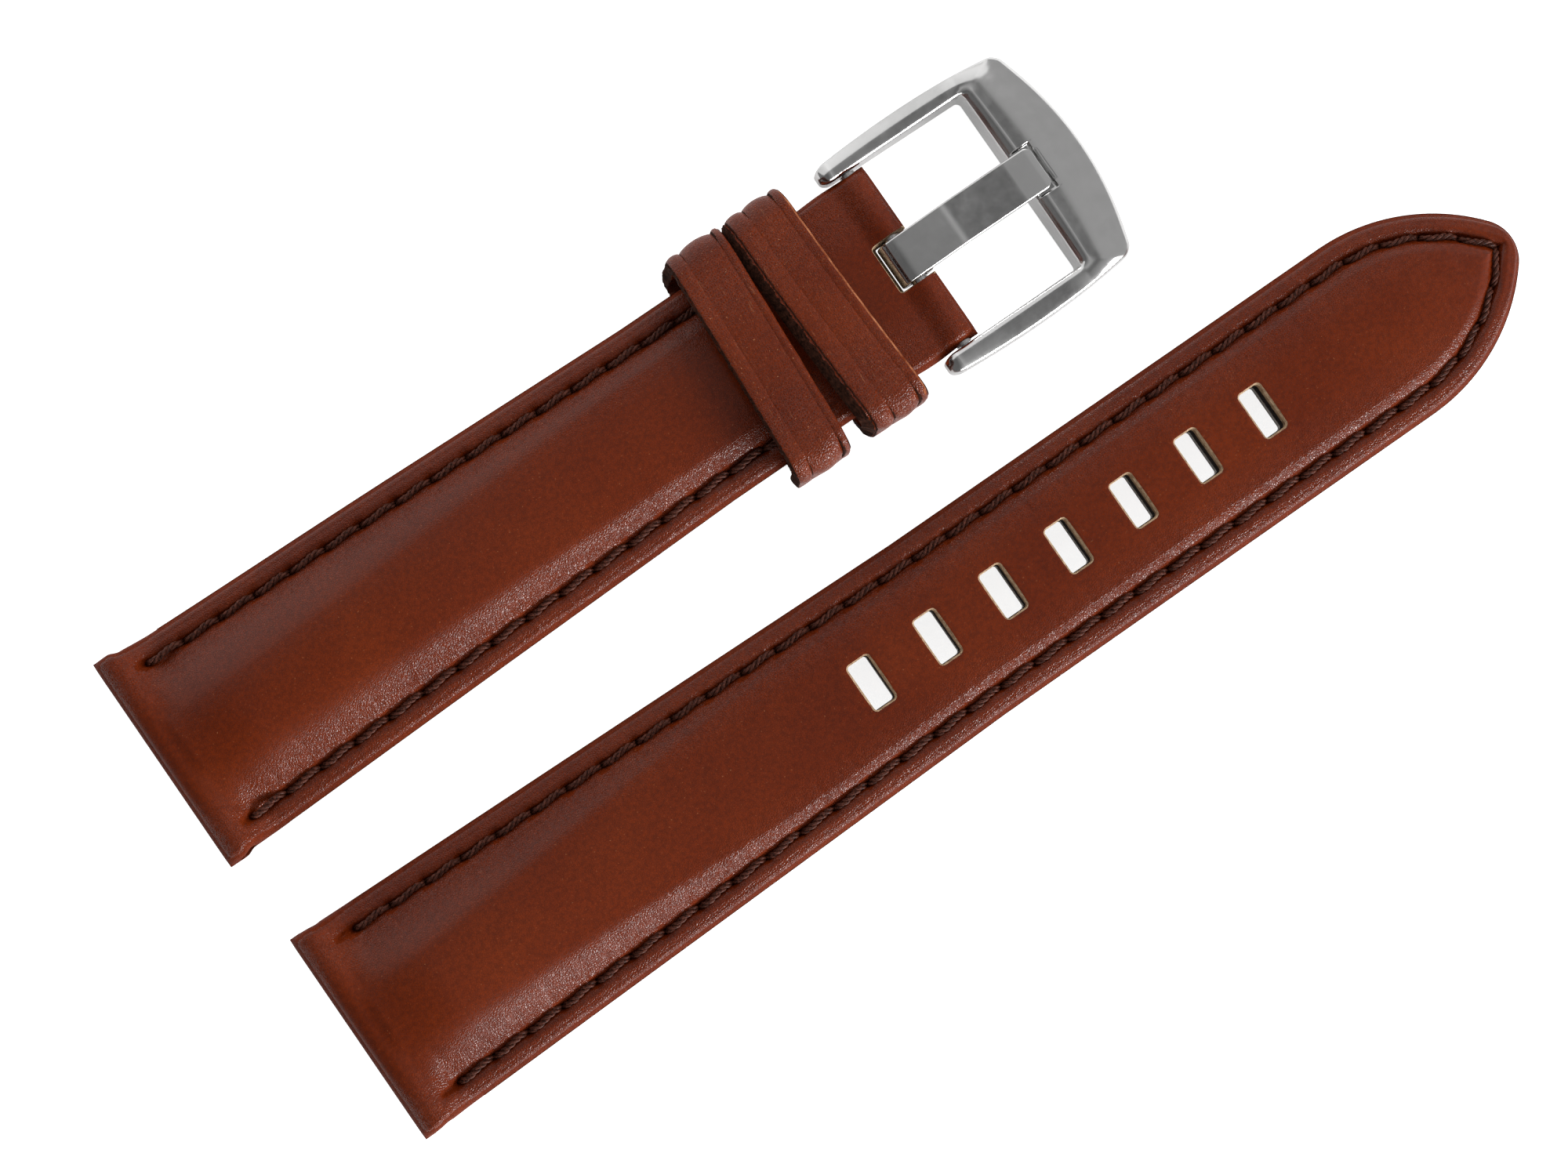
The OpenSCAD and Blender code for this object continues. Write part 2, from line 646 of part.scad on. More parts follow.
// Side view of the frame: level arms with round tips, feet that drop to the table, a crested crossbar
module frame_side() {
    translate([arm_tip_x + arm_h / 2, bar_z]) circle(arm_h / 2);
    polygon([
        [arm_tip_x + arm_h / 2, arm_low_z],
        [bar_x + window_l - 2, table_z + 0.5],
        [frame_end - 1.2, table_z],
        [frame_end - 0.3, table_z + 0.3],
        [frame_end, table_z + 0.8],
        [frame_end, table_z + lip_h - 0.5],
        [frame_end - 0.3, table_z + lip_h - 0.1],
        [crest_x + 2.2, crest_z - 0.75],
        [crest_x + 1.1, crest_z - 0.22],
        [crest_x, crest_z],
        [crest_x - 0.9, crest_z - 0.04],
        [crest_x - crest_l + 0.3, crest_z - 0.25],
        [crest_x - crest_l, crest_z - 0.55],
        [crest_x - crest_l - 1.5, arm_top_z],
        [arm_tip_x + arm_h / 2, arm_top_z]
    ]);
}

// End view of the frame: a shallow dome over the crossbar and round outer edges
module frame_end_view() {
    intersection() {
        translate([0, crest_z - dome_r]) circle(dome_r, $fn = 240);
        translate([0, (crest_z + table_z) / 2]) rounded(frame_out_w, crest_z - table_z, corner_r);
    }
}

module arm_rounding(side) {
    r = arm_w / 2;
    translate([side * (frame_in_w / 2 + r), 0]) {
        translate([0, arm_top_z - r]) circle(r);
        translate([-r, table_z - past]) square([arm_w, arm_top_z - r - table_z + past]);
    }
}

module buckle_frame() {
    color("silver") difference() {
        intersection() {
            translate([0, 0, table_z - past]) linear_extrude(crest_h + 2 * past) frame_plan();
            translate([0, frame_out_w, 0]) rotate([90, 0, 0]) linear_extrude(2 * frame_out_w) frame_side();
            translate([arm_tip_x - past, 0, 0]) rotate([90, 0, 90])
                linear_extrude(frame_end - arm_tip_x + 2 * past) frame_end_view();
            union() {
                translate([arm_tip_x - past, 0, 0]) rotate([90, 0, 90])
                    linear_extrude(bar_x + window_l - arm_tip_x + 2 * past)
                    for (side = [-1, 1]) arm_rounding(side);
                translate([bar_x + window_l, -frame_out_w, table_z - past])
                    cube([crossbar_l + past, 2 * frame_out_w, crest_h + 2 * past]);
            }
        }
        for (side = [-1, 1]) blind_hole(side);
        translate([bar_x + window_l - past, -rest_w / 2, crest_z - rest_d])
            cube([rest_l + past, rest_w, rest_d + past]);
    }
}

hole_l = tip_in + 0.15;
module blind_hole(side) {
    inner = side * frame_in_w / 2;
    outer = side * (frame_in_w / 2 + hole_l);
    cross_bore(bar_x, bar_z, tip_r + tip_gap, min(inner - side * 0.5, outer), max(inner - side * 0.5, outer));
}

// Tongue: a curl round the bar and three facets that end on the crossbar's rest
tongue_out_r = bar_bore_r + tongue_t;
tongue_tip_top = crest_z - rest_d + tongue_rest_gap + tongue_t - bar_z;
tongue_l = window_l + tongue_reach;
module tongue_facets() {
    polygon([
        [0, tongue_out_r],
        [tongue_bend_1, tongue_tip_top + tongue_arch],
        [tongue_bend_2, tongue_tip_top],
        [tongue_l, tongue_tip_top],
        [tongue_l, tongue_tip_top - tongue_t],
        [tongue_bend_2, tongue_tip_top - tongue_t],
        [tongue_bend_1, tongue_tip_top + tongue_arch - tongue_t],
        [0, tongue_out_r - tongue_t]
    ]);
}
module across_tongue() {
    translate([bar_x, tongue_w / 2, bar_z]) rotate([90, 0, 0]) linear_extrude(tongue_w) children();
}
module buckle_tongue() {
    reach = tongue_l + past;
    color("gainsboro") difference() {
        union() {
            across_tongue() circle(tongue_out_r);
            intersection() {
                across_tongue() tongue_facets();
                translate([bar_x + tongue_l - reach / 2, 0, table_z]) linear_extrude(crest_h + 3 * past)
                    rounded(reach, tongue_w, tongue_r);
            }
        }
        cross_bore(bar_x, bar_z, bar_bore_r, -tongue_w, tongue_w);
    }
}

// Spring bar: a tube, two flanged tips and the spring that keeps them out
flange_r = bar_r - 0.03;
flange_out_y = frame_in_w / 2 - 0.08;
tube_half_l = flange_out_y - flange_t - tip_travel - 0.05;
tube_in_r = bar_r - bar_wall;
plunger_r = tube_in_r - 0.04;
plunger_l = 1.8;
plunger_in_y = tube_half_l - plunger_l;
module spring_bar_tube() {
    color("darkgray") difference() {
        cross_bore(bar_x, bar_z, bar_r, -tube_half_l, tube_half_l);
        cross_bore(bar_x, bar_z, tube_in_r, -tube_half_l - past, tube_half_l + past);
    }
}
module spring_bar_tip() {
    cross_bore(bar_x, bar_z, plunger_r, plunger_in_y, flange_out_y - flange_t / 2);
    cross_bore(bar_x, bar_z, flange_r, flange_out_y - flange_t, flange_out_y);
    cross_bore(bar_x, bar_z, tip_r, flange_out_y - flange_t / 2, frame_in_w / 2 + tip_in);
}
module spring_bar_left_tip() {
    color("lightsteelblue") spring_bar_tip();
}
module spring_bar_right_tip() {
    color("lightsteelblue") mirror([0, 1, 0]) spring_bar_tip();
}

// The spring: one unbroken tube of wire, 8 rings a turn and 6 sides
helix_r = plunger_r - wire_r - 0.02;
spring_half_l = plunger_in_y - wire_r - 0.02;
rings_per_turn = 8;
function helix_point(i) = let(t = i / rings_per_turn)
    [bar_x + helix_r * cos(360 * t), mix(-spring_half_l, spring_half_l, t / spring_turns),
        bar_z + helix_r * sin(360 * t)];
function wire_ring(i) = let(
        c = helix_point(i),
        out = [cos(360 * i / rings_per_turn), 0, sin(360 * i / rings_per_turn)],
        run = helix_point(i + 0.5) - helix_point(i - 0.5),
        up = cross(run, out) / norm(run)
    )
    [for (k = [0:5]) c + wire_r * (cos(60 * k) * out + sin(60 * k) * up)];
module spring_bar_spring() {
    color("silver") loft([for (i = [0:spring_turns * rings_per_turn]) wire_ring(i)]);
}
spring_points = [for (i = [0:spring_turns * rings_per_turn]) helix_point(i)];
spring_gap = min([for (i = [0:len(spring_points) - 1]) for (j = [i + 3:len(spring_points) - 1])
    norm(spring_points[i] - spring_points[j])]) - 2 * wire_r;
echo(spring_least_gap_to_itself = spring_gap);

short_upper_leather();
short_padding();
short_reinforcement();
short_lining();
short_needle_thread();
short_bobbin_thread();
fixed_keeper();
free_keeper();
buckle_frame();
buckle_tongue();
spring_bar_tube();
spring_bar_left_tip();
spring_bar_right_tip();
spring_bar_spring();
long_upper_leather();
long_padding();
long_reinforcement();
long_lining();
long_needle_thread();
long_bobbin_thread();
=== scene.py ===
import math

import bmesh
import bpy
import numpy as np
from mathutils import Matrix, Vector


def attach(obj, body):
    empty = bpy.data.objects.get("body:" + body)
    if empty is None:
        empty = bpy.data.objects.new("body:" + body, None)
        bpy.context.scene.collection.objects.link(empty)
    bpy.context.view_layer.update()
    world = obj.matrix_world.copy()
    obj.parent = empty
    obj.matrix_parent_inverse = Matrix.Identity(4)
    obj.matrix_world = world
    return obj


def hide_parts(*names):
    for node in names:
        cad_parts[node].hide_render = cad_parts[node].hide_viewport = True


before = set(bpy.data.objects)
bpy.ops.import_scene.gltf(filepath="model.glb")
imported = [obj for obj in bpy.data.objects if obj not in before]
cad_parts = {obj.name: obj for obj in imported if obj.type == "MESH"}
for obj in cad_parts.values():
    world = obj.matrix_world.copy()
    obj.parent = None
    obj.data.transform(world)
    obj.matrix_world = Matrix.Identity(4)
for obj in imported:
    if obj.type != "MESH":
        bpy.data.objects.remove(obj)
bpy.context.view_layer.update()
mm = 0.001  # all the sizes below are in millimetres, meshes are made in metres

# Sizes that both halves share
strap = {
    "table": -1.9, "lugWidth": 19.8, "bodyWidth": 17.4, "flare": 0.3, "flareStart": -0.4, "flareLength": 1.0,
    "rollRadius": 1.9, "boreRadius": 0.95, "turnLength": 4.0, "margin": 2.1, "marginBlend": 3.4,
    "crownBlend": 7.0, "dome": 0.25, "skin": 0.9, "lining": 0.8, "tape": 0.2, "liningInset": 0.7,
    "slopeFoot": 2.6, "padFoot": 2.85, "seamInset": 2.15, "stitch": 3.5, "seamStart": 1.8, "seamFade": 0.8,
    "grooveDepth": 0.42, "grooveWidth": 0.27, "channel": 0.4, "channelWidth": 0.2,
    "edgeWidth": 0.28, "edgeFall": 0.80, "edgeReach": 0.80, "fullEdge": 1.9, "underRound": 0.35,
    "marginFall": 0.06, "fallStart": 1.5, "fallLength": 1.1, "bead": 0.08, "beadPlace": 1.3, "beadWidth": 0.3,
}
# "shift" is where a half lies in X and Y, "span" how far a cutter across it reaches in Y
shortHalf = {
    "name": "short", "taper": 50.0, "flareShare": 1.0, "crownLug": 4.6, "crownEnd": 3.0, "crownLength": 61.6,
    "bevelLug": 4.6, "bevelEnd": 1.5, "rise": 1.15, "riseStart": 2.0, "riseLength": 26.0, "tab": True,
    "shift": (0.0, 0.0), "span": (-14, 14),
}
longHalf = {
    "name": "long", "taper": 58.0, "flareShare": 1 / 3, "crownLug": 4.6, "crownEnd": 2.7, "crownLength": 46.0,
    "bevelLug": 4.6, "bevelEnd": 1.05, "rise": 0.0, "riseStart": 2.0, "riseLength": 26.0, "tab": False,
    "shift": (0.6, -27.9), "span": (-42, -13),
}
tab = {
    "barX": 73.6, "barZ": 0.75, "rollRadius": 1.5, "barBore": 0.8, "thickness": 2.3, "padEnd": 61.6,
    "padBlend": 2.6, "blend": 2.2, "liningEnd": 67.6, "notchWidth": 4.5, "notchBack": 2.05,
    "notchLength": 8.0, "notchCorner": 0.25, "notchRim": 0.12, "notchRimLevels": (1.40, 1.62),
}
tip = {"end": 118.1, "sideRadius": 18.2, "noseRadius": 3.5, "noseFade": 1.7, "sideSteps": 24, "noseSteps": 12}
slots = {"count": 7, "first": 50.0, "pitch": 6.8, "length": 4.4, "width": 2.1, "corner": 0.3,
         "rim": 0.22, "rimLevels": (0.80, 1.08), "dip": 0.09, "dipFade": 0.13, "lip": 0.02,
         "lipPlace": 0.45, "lipWidth": 0.25, "reach": 1.2}
past = 4.0  # how far a cutter reaches past what it cuts


# Small helpers

def smooth(t):
    t = np.clip(t, 0, 1)
    return t * t * (3 - 2 * t)


def slopeHeight(t, rise, length, endSlope):
    # straight at the seam, rounding over into the slope with which the crown goes on
    t = min(max(float(t), 0.0), 1.0)
    bend = (rise - endSlope * length) / 2
    return (rise + bend) * t - bend * t ** 3


def mix(a, b, t):
    return a + (b - a) * t


def bell(x, width):
    return np.exp(-(x / width) ** 2)


def newPiece(name, points, faces, join=None):
    # an object from points in millimetres, with its faces turned outwards
    data = bpy.data.meshes.new(name)
    data.from_pydata((np.asarray(points) * mm).tolist(), [], faces)
    piece = bpy.data.objects.new(name, data)
    bpy.context.scene.collection.objects.link(piece)
    bm = bmesh.new()
    bm.from_mesh(data)
    if join:
        bmesh.ops.remove_doubles(bm, verts=bm.verts, dist=join)
        bmesh.ops.dissolve_degenerate(bm, dist=join / 20, edges=bm.edges)
    bmesh.ops.recalc_face_normals(bm, faces=bm.faces)
    bm.to_mesh(data)
    bm.free()
    return piece


def smoothMesh(piece, sharp):
    data = piece.data
    data.polygons.foreach_set("use_smooth", [True] * len(data.polygons))
    data.set_sharp_from_angle(angle=math.radians(sharp))
    data.update()


def dress(piece, materials, body, replaced, sharp):
    for material in materials:
        piece.data.materials.append(material)
    smoothMesh(piece, sharp)
    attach(piece, body)
    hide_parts(replaced)


def ringFaces(rows, ring, closed=False, endCap=True):
    faces = []
    for i in range(rows if closed else rows - 1):
        a, b = i * ring, (i + 1) % rows * ring
        for j in range(ring):
            k = (j + 1) % ring
            faces.append((a + j, a + k, b + k, b + j))
    if not closed:
        faces.append(tuple(range(ring)))
    if endCap and not closed:
        faces.append(tuple(range((rows - 1) * ring, rows * ring)))
    return faces


def loft(name, rows, shift=(0, 0), join=2e-6, closed=False, endCap=True):
    rows = np.array(rows)
    count, ring = rows.shape[:2]
    return newPiece(name, rows.reshape(-1, 3) + (*shift, 0), ringFaces(count, ring, closed, endCap), join)


def mirrorRing(side, base=0.0):
    # a ring from its +Y side, raised by base
    return [(x, y, z + base) for x, y, z in side + [(px, -py, pz) for px, py, pz in side[::-1]]]


def cutAway(pieces, cutters, sharp):
    for piece in pieces:
        for cutter in cutters:
            modifier = piece.modifiers.new("cut", "BOOLEAN")
            modifier.operation = "DIFFERENCE"
            modifier.solver = "MANIFOLD"
            modifier.object = cutter
            bpy.context.view_layer.update()
            evaluated = piece.evaluated_get(bpy.context.evaluated_depsgraph_get())
            data = bpy.data.meshes.new_from_object(evaluated)
            piece.modifiers.clear()
            data.name = piece.data.name
            piece.data = data
        smoothMesh(piece, sharp)
    for cutter in cutters:
        bpy.data.objects.remove(cutter, do_unlink=True)


def roundedOutline(cx, cy, lx, ly, r, steps=6):
    points = []
    for k, (sx, sy) in enumerate([(1, 1), (-1, 1), (-1, -1), (1, -1)]):
        x, y = cx + sx * (lx / 2 - r), cy + sy * (ly / 2 - r)
        for i in range(steps + 1):
            a = math.pi / 2 * (k + i / steps)
            points.append((x + r * math.cos(a), y + r * math.sin(a)))
    return points


def holeCutter(name, places, lx, ly, corner, levels):
    # an upright rounded hole at each place, which grows by its own amount at each level
    points, faces = [], []
    for cx, cy in places:
        start = len(points)
        for z, grow in levels:
            ring = roundedOutline(cx, cy, lx + 2 * grow, ly + 2 * grow, corner + grow)
            points += [(px, py, z) for px, py in ring]
        faces += [tuple(start + p for p in face) for face in ringFaces(len(levels), len(ring))]
    return newPiece(name, points, faces)


def crossCutter(name, x, z, radius, low, high, sides=48):
    # a round bar along Y
    turns = [2 * math.pi * i / sides for i in range(sides)]
    points = [(x + radius * math.cos(a), y, z + radius * math.sin(a)) for y in (low, high) for a in turns]
    return newPiece(name, points, ringFaces(2, sides))


def markFaces(piece, index, test):
    for face in piece.data.polygons:
        if test(face, face.center / mm, face.normal):
            face.material_index = index


# Camera: nearly straight above, as the photograph was taken

camera = {
    "lens": 59.4, "sensor": 36.0, "height": 217.8, "place": (31.53, -22.27), "turn": 34.70,
    "centrePixel": (1000.0, 740.0), "nadirPixel": (824.5, 966.0), "imageWidth": 2000.0,
}


def makeCamera():
    focal = camera["lens"] / camera["sensor"] * camera["imageWidth"]
    offX = camera["nadirPixel"][0] - camera["centrePixel"][0]
    offY = camera["nadirPixel"][1] - camera["centrePixel"][1]
    reach = math.hypot(offX, offY)
    tilt = math.atan2(reach, focal)
    turn = math.radians(camera["turn"])
    # world axes in camera axes: right, down, forwards
    up = -np.array([offX / reach * math.sin(tilt), offY / reach * math.sin(tilt), math.cos(tilt)])
    along = np.array([math.cos(turn), -math.sin(turn), 0.0])
    along -= up * (along @ up)
    along /= np.linalg.norm(along)
    across = np.cross(up, along)
    axes = np.stack([along, across, up])
    data = bpy.data.cameras.new("photoCamera")
    data.lens = camera["lens"]
    data.sensor_width = camera["sensor"]
    data.clip_start, data.clip_end = 0.01, 10
    eye = bpy.data.objects.new("photoCamera", data)
    bpy.context.scene.collection.objects.link(eye)
    turned = Matrix.Identity(4)
    for row in range(3):
        turned[row][0] = axes[row][0]
        turned[row][1] = -axes[row][1]
        turned[row][2] = -axes[row][2]
    place = Vector((camera["place"][0], camera["place"][1], camera["height"])) * mm
    eye.matrix_world = Matrix.Translation(place) @ turned
    bpy.context.scene.camera = eye


makeCamera()
print("camera made")


# Materials

def feed(tree, node, inputs):
    # links, numbers, vectors and colours into the inputs of a node
    for key, value in inputs.items():
        socket = node.inputs[key]
        if hasattr(value, "node"):
            tree.links.new(value, socket)
        else:
            socket.default_value = (*value, 1) if socket.type == "RGBA" else value
    return node


def addNode(tree, kind, inputs, **properties):
    node = tree.nodes.new("ShaderNode" + kind)
    for name, value in properties.items():
        setattr(node, name, value)
    return feed(tree, node, inputs)


def startMaterial(name):
    material = bpy.data.materials.new(name)
    material.use_nodes = True
    tree = material.node_tree
    tree.nodes.clear()
    shader = addNode(tree, "BsdfPrincipled", {})
    addNode(tree, "OutputMaterial", {"Surface": shader.outputs["BSDF"]})
    return material, tree, shader, addNode(tree, "TexCoord", {}).outputs["Object"]


def addNoise(tree, vector, scale, detail=3, roughness=0.5, stretch=None):
    if stretch:
        vector = addNode(tree, "Mapping", {"Vector": vector, "Scale": stretch}).outputs["Vector"]
    return addNode(tree, "TexNoise", {
        "Vector": vector, "Scale": scale, "Detail": detail, "Roughness": roughness}).outputs["Fac"]


def addRamp(tree, fac, stops):
    ramp = addNode(tree, "ValToRGB", {"Fac": fac})
    elements = ramp.color_ramp.elements
    while len(elements) < len(stops):
        elements.new(0.5)
    for element, (place, colour) in zip(elements, stops):
        element.position = place
        element.color = (*colour, 1)
    return ramp.outputs["Color"]


def addMix(tree, fac, a, b, blend="MIX"):
    node = addNode(tree, "Mix", {"Factor": fac, "A": a, "B": b}, data_type="RGBA", blend_type=blend)
    return node.outputs["Result"]


def addMath(tree, operation, a, b=0.5, clamp=False):
    return addNode(tree, "Math", {0: a, 1: b}, operation=operation, use_clamp=clamp).outputs["Value"]


def addBump(tree, shader, height, distance, strength=1.0, before=None):
    bump = addNode(tree, "Bump", {"Height": height, "Distance": distance, "Strength": strength})
    if before is not None:
        feed(tree, bump, {"Normal": before})
    feed(tree, shader, {"Normal": bump.outputs["Normal"]})
    return bump.outputs["Normal"]


def addTone(tree, colour, fac, stops):
    # a colour made darker or lighter by a ramp
    return addMix(tree, 1.0, colour, addRamp(tree, fac, stops), "MULTIPLY")


def addMarks(tree, colour, fac, start, end, share, markColour):
    # marks where a noise is high
    marks = addRamp(tree, fac, [(start, (0, 0, 0)), (end, (1, 1, 1))])
    return addMix(tree, addMath(tree, "MULTIPLY", marks, share), colour, markColour)


grainLeather = {
    "colour": (0.121, 0.0152, 0.0012), "deep": (0.103, 0.0120, 0.0008), "warm": (0.142, 0.0195, 0.0020),
    "cell": 4900, "cellDepth": 0.000034, "wobble": 0.00018, "pore": 9500, "poreDepth": 0.000006,
    "patch": 420, "patchDepth": 0.00005, "axis": 0.0, "drawnFrom": 0.0035, "drawnTo": 0.0070,
    "taper": 0.026, "taperEnd": 0.05, "calm": 0.14, "roughness": 0.22, "creaseRoughness": 0.38,
    "specular": 0.33, "scratches": 0.0, "scratchColour": (0.33, 0.12, 0.05), "specks": 0.30,
    "speckColour": (0.45, 0.22, 0.10),
}


def addPebbles(tree, here, settings):
    # the distance from the wavy borders of the grain's pebbles
    spread = addNode(tree, "VectorMath", {
        0: addNoise(tree, here, 1500, 2), "Scale": settings["wobble"]}, operation="SCALE")
    moved = addNode(tree, "VectorMath", {0: here, 1: spread.outputs["Vector"]}, operation="ADD")
    cells = addNode(tree, "TexVoronoi", {
        "Vector": moved.outputs["Vector"], "Scale": settings["cell"]}, feature="DISTANCE_TO_EDGE")
    return cells.outputs["Distance"]


def addDrawn(tree, here, settings):
    # the grain is calm along the middle and rough where the skin is drawn in at the seams
    parts = addNode(tree, "SeparateXYZ", {"Vector": here})
    fromAxis = addMath(tree, "ABSOLUTE", addMath(tree, "SUBTRACT", parts.outputs["Y"], settings["axis"]))
    alongTaper = addMath(tree, "MINIMUM", parts.outputs["X"], settings["taperEnd"])
    narrower = addMath(tree, "MULTIPLY", alongTaper, settings["taper"])
    drawn = addNode(tree, "MapRange", {
        "Value": addMath(tree, "ADD", fromAxis, narrower), "From Min": settings["drawnFrom"],
        "From Max": settings["drawnTo"], "To Min": settings["calm"]})
    return drawn.outputs["Result"]


def makeGrainLeather(name, settings):
    material, tree, shader, here = startMaterial(name)
    border = addPebbles(tree, here, settings)
    pebble = addRamp(tree, border, [(0.0, (0, 0, 0)), (0.28, (1, 1, 1))])
    raised = addMath(tree, "MULTIPLY", pebble, addDrawn(tree, here, settings))
    normal = addBump(tree, shader, raised, settings["cellDepth"], 0.8)
    pores = addNoise(tree, here, settings["pore"], 3, 0.6)
    normal = addBump(tree, shader, pores, settings["poreDepth"], 0.7, normal)
    addBump(tree, shader, addNoise(tree, here, settings["patch"], 3), settings["patchDepth"], 0.5, normal)
    colour = addRamp(tree, addNoise(tree, here, 90, 4, 0.55), [
        (0.30, settings["deep"]), (0.52, settings["colour"]), (0.78, settings["warm"])])
    fine = addNoise(tree, here, 2600, 2, 0.6)
    colour = addTone(tree, colour, fine, [(0.36, (0.82, 0.80, 0.80)), (0.62, (1.08, 1.06, 1.05))])
    # painted shade: the creases between the pebbles are painted a little darker, and they are duller
    colour = addTone(tree, colour, border, [(0.0, (0.80, 0.78, 0.76)), (0.22, (1, 1, 1))])
    rough = addRamp(tree, border, [
        (0.0, (settings["creaseRoughness"],) * 3), (0.24, (settings["roughness"],) * 3)])
    if settings["scratches"]:
        rubbed = addNoise(tree, here, 1000, 4, 0.75, (5.2, 0.5, 1))
        colour = addMarks(tree, colour, rubbed, 0.62, 0.72, settings["scratches"], settings["scratchColour"])
    dust = addNoise(tree, here, 5200, 2, 0.6)
    colour = addMarks(tree, colour, dust, 0.70, 0.76, settings["specks"], settings["speckColour"])
    feed(tree, shader, {"Base Color": colour, "Roughness": rough, "Specular IOR Level": settings["specular"]})
    return material


# Cut edges, lining, felt, tape and thread: one fibrous stuff in different colours, lengths and bumps
cutLeather = {
    "dark": (0.20, 0.12, 0.07), "light": (0.46, 0.33, 0.21), "stops": (0.35, 0.62), "scale": 2400,
    "detail": 4, "break": 0.7, "stretch": (1, 1, 2.2), "bump": 0.00008, "strength": 1.0,
    "roughness": 0.85, "specular": 0.12,
}
liningLeather = {
    "dark": (0.014, 0.008, 0.006), "light": (0.032, 0.019, 0.014), "stops": (0.3, 0.7), "scale": 1800,
    "detail": 4, "break": 0.65, "stretch": None, "bump": 0.00003, "strength": 0.8,
    "roughness": 0.62, "specular": 0.5,
}
pressedFelt = {
    "dark": (0.42, 0.33, 0.22), "light": (0.66, 0.56, 0.42), "stops": (0.3, 0.7), "scale": 2600,
    "detail": 5, "break": 0.75, "stretch": (1, 1, 3), "bump": 0.0001, "strength": 1.0,
    "roughness": 0.95, "specular": 0.5,
}
sewingThread = {
    "dark": (0.018, 0.0056, 0.0036), "light": (0.112, 0.034, 0.021), "stops": (0.35, 0.7), "scale": 5200,
    "detail": 3, "break": 0.6, "stretch": None, "bump": 0.00003, "strength": 0.9,
    "roughness": 0.42, "specular": 0.16,
}


def makeFibrous(name, settings):
    material, tree, shader, here = startMaterial(name)
    fibre = addNoise(tree, here, settings["scale"], settings["detail"], settings["break"],
                     settings["stretch"])
    low, high = settings["stops"]
    addBump(tree, shader, fibre, settings["bump"], settings["strength"])
    feed(tree, shader, {
        "Base Color": addRamp(tree, fibre, [(low, settings["dark"]), (high, settings["light"])]),
        "Roughness": settings["roughness"], "Specular IOR Level": settings["specular"]})
    return material


polishedSteel = {"colour": (0.74, 0.735, 0.73), "tarnish": 0.94, "roughness": 0.15, "haze": 0.08,
                 "wave": 0.000003}


def makeSteel(name, settings):
    material, tree, shader, here = startMaterial(name)
    haze = addNoise(tree, here, 700, 4, 0.6)
    clear, dull = settings["roughness"], settings["roughness"] + settings["haze"]
    darker = tuple(c * settings["tarnish"] for c in settings["colour"])
    addBump(tree, shader, addNoise(tree, here, 260, 2, 0.5), settings["wave"], 0.6)
    feed(tree, shader, {
        "Base Color": addRamp(tree, haze, [(0.3, darker), (0.7, settings["colour"])]),
        "Roughness": addRamp(tree, haze, [(0.35, (clear,) * 3), (0.75, (dull,) * 3)]), "Metallic": 1.0})
    return material


leatherMat = makeGrainLeather("shortGrainLeather", grainLeather)
longLeatherMat = makeGrainLeather("longGrainLeather", {**grainLeather, "axis": longHalf["shift"][1] * mm})
turnedMat = makeGrainLeather("turnedEdgeLeather", {
    **grainLeather, "roughness": 0.5, "creaseRoughness": 0.66, "specular": 0.08, "calm": 1.0, "specks": 0.2})
keeperMat = makeGrainLeather("keeperLeather", {
    **grainLeather, "colour": (0.138, 0.0190, 0.0022), "warm": (0.166, 0.0260, 0.0042), "cell": 4400,
    "cellDepth": 0.00004, "calm": 0.6, "roughness": 0.24, "creaseRoughness": 0.40, "scratches": 0.45,
    "specks": 0.7})
wornMat = makeFibrous("wornKeeperEdge", {
    **cutLeather, "dark": (0.125, 0.020, 0.003), "light": (0.34, 0.13, 0.06), "scale": 900})
# painted shade: the slot walls through the felt and tape are painted near-black, for the shade inside the
# slots
slotShadeMat = makeFibrous("slotWallPaintedShade", {
    **cutLeather, "dark": (0.006, 0.004, 0.0035), "light": (0.030, 0.020, 0.016), "scale": 2600})
cutMat = makeFibrous("cutLeatherEdge", cutLeather)
# near-black cut edges of the keepers: partly the raw edge's own dark colour, partly painted shade for the
# shaded gap between the keepers
rawEdgeShadeMat = makeFibrous("rawKeeperEdgeAndShade", {
    **cutLeather, "dark": (0.007, 0.003, 0.002), "light": (0.060, 0.020, 0.011), "scale": 2300})
liningMat = makeFibrous("liningLeather", liningLeather)
feltMat = makeFibrous("pressedFelt", pressedFelt)
tapeMat = makeFibrous("wovenTape", {
    **pressedFelt, "dark": (0.62, 0.59, 0.52), "light": (0.8, 0.78, 0.72), "scale": 1900})
threadMat = makeFibrous("sewingThread", sewingThread)
steelMat = makeSteel("polishedSteel", polishedSteel)
barMat = makeSteel("drawnSteel", {**polishedSteel, "roughness": 0.24})
print("materials made")


# Shape of a half along its length

def halfWidth(half, x):
    w = mix(strap["lugWidth"], strap["bodyWidth"], np.clip(x / half["taper"], 0, 1)) / 2
    flare = strap["flare"] * (1 - smooth((x - strap["flareStart"]) / strap["flareLength"]))
    return w + flare * half["flareShare"]


def baseLevel(half, x):
    return strap["table"] + half["rise"] * smooth((x - half["riseStart"]) / half["riseLength"])


def rollHeight(over, radius):
    return math.sqrt(max(0.0, radius * radius - over * over))


def bottomLevel(half, x):
    if x < 0:
        return strap["rollRadius"] - rollHeight(x, strap["rollRadius"])
    if half["tab"] and x > tab["barX"]:
        return tab["rollRadius"] - rollHeight(x - tab["barX"], tab["rollRadius"])
    return 0.0


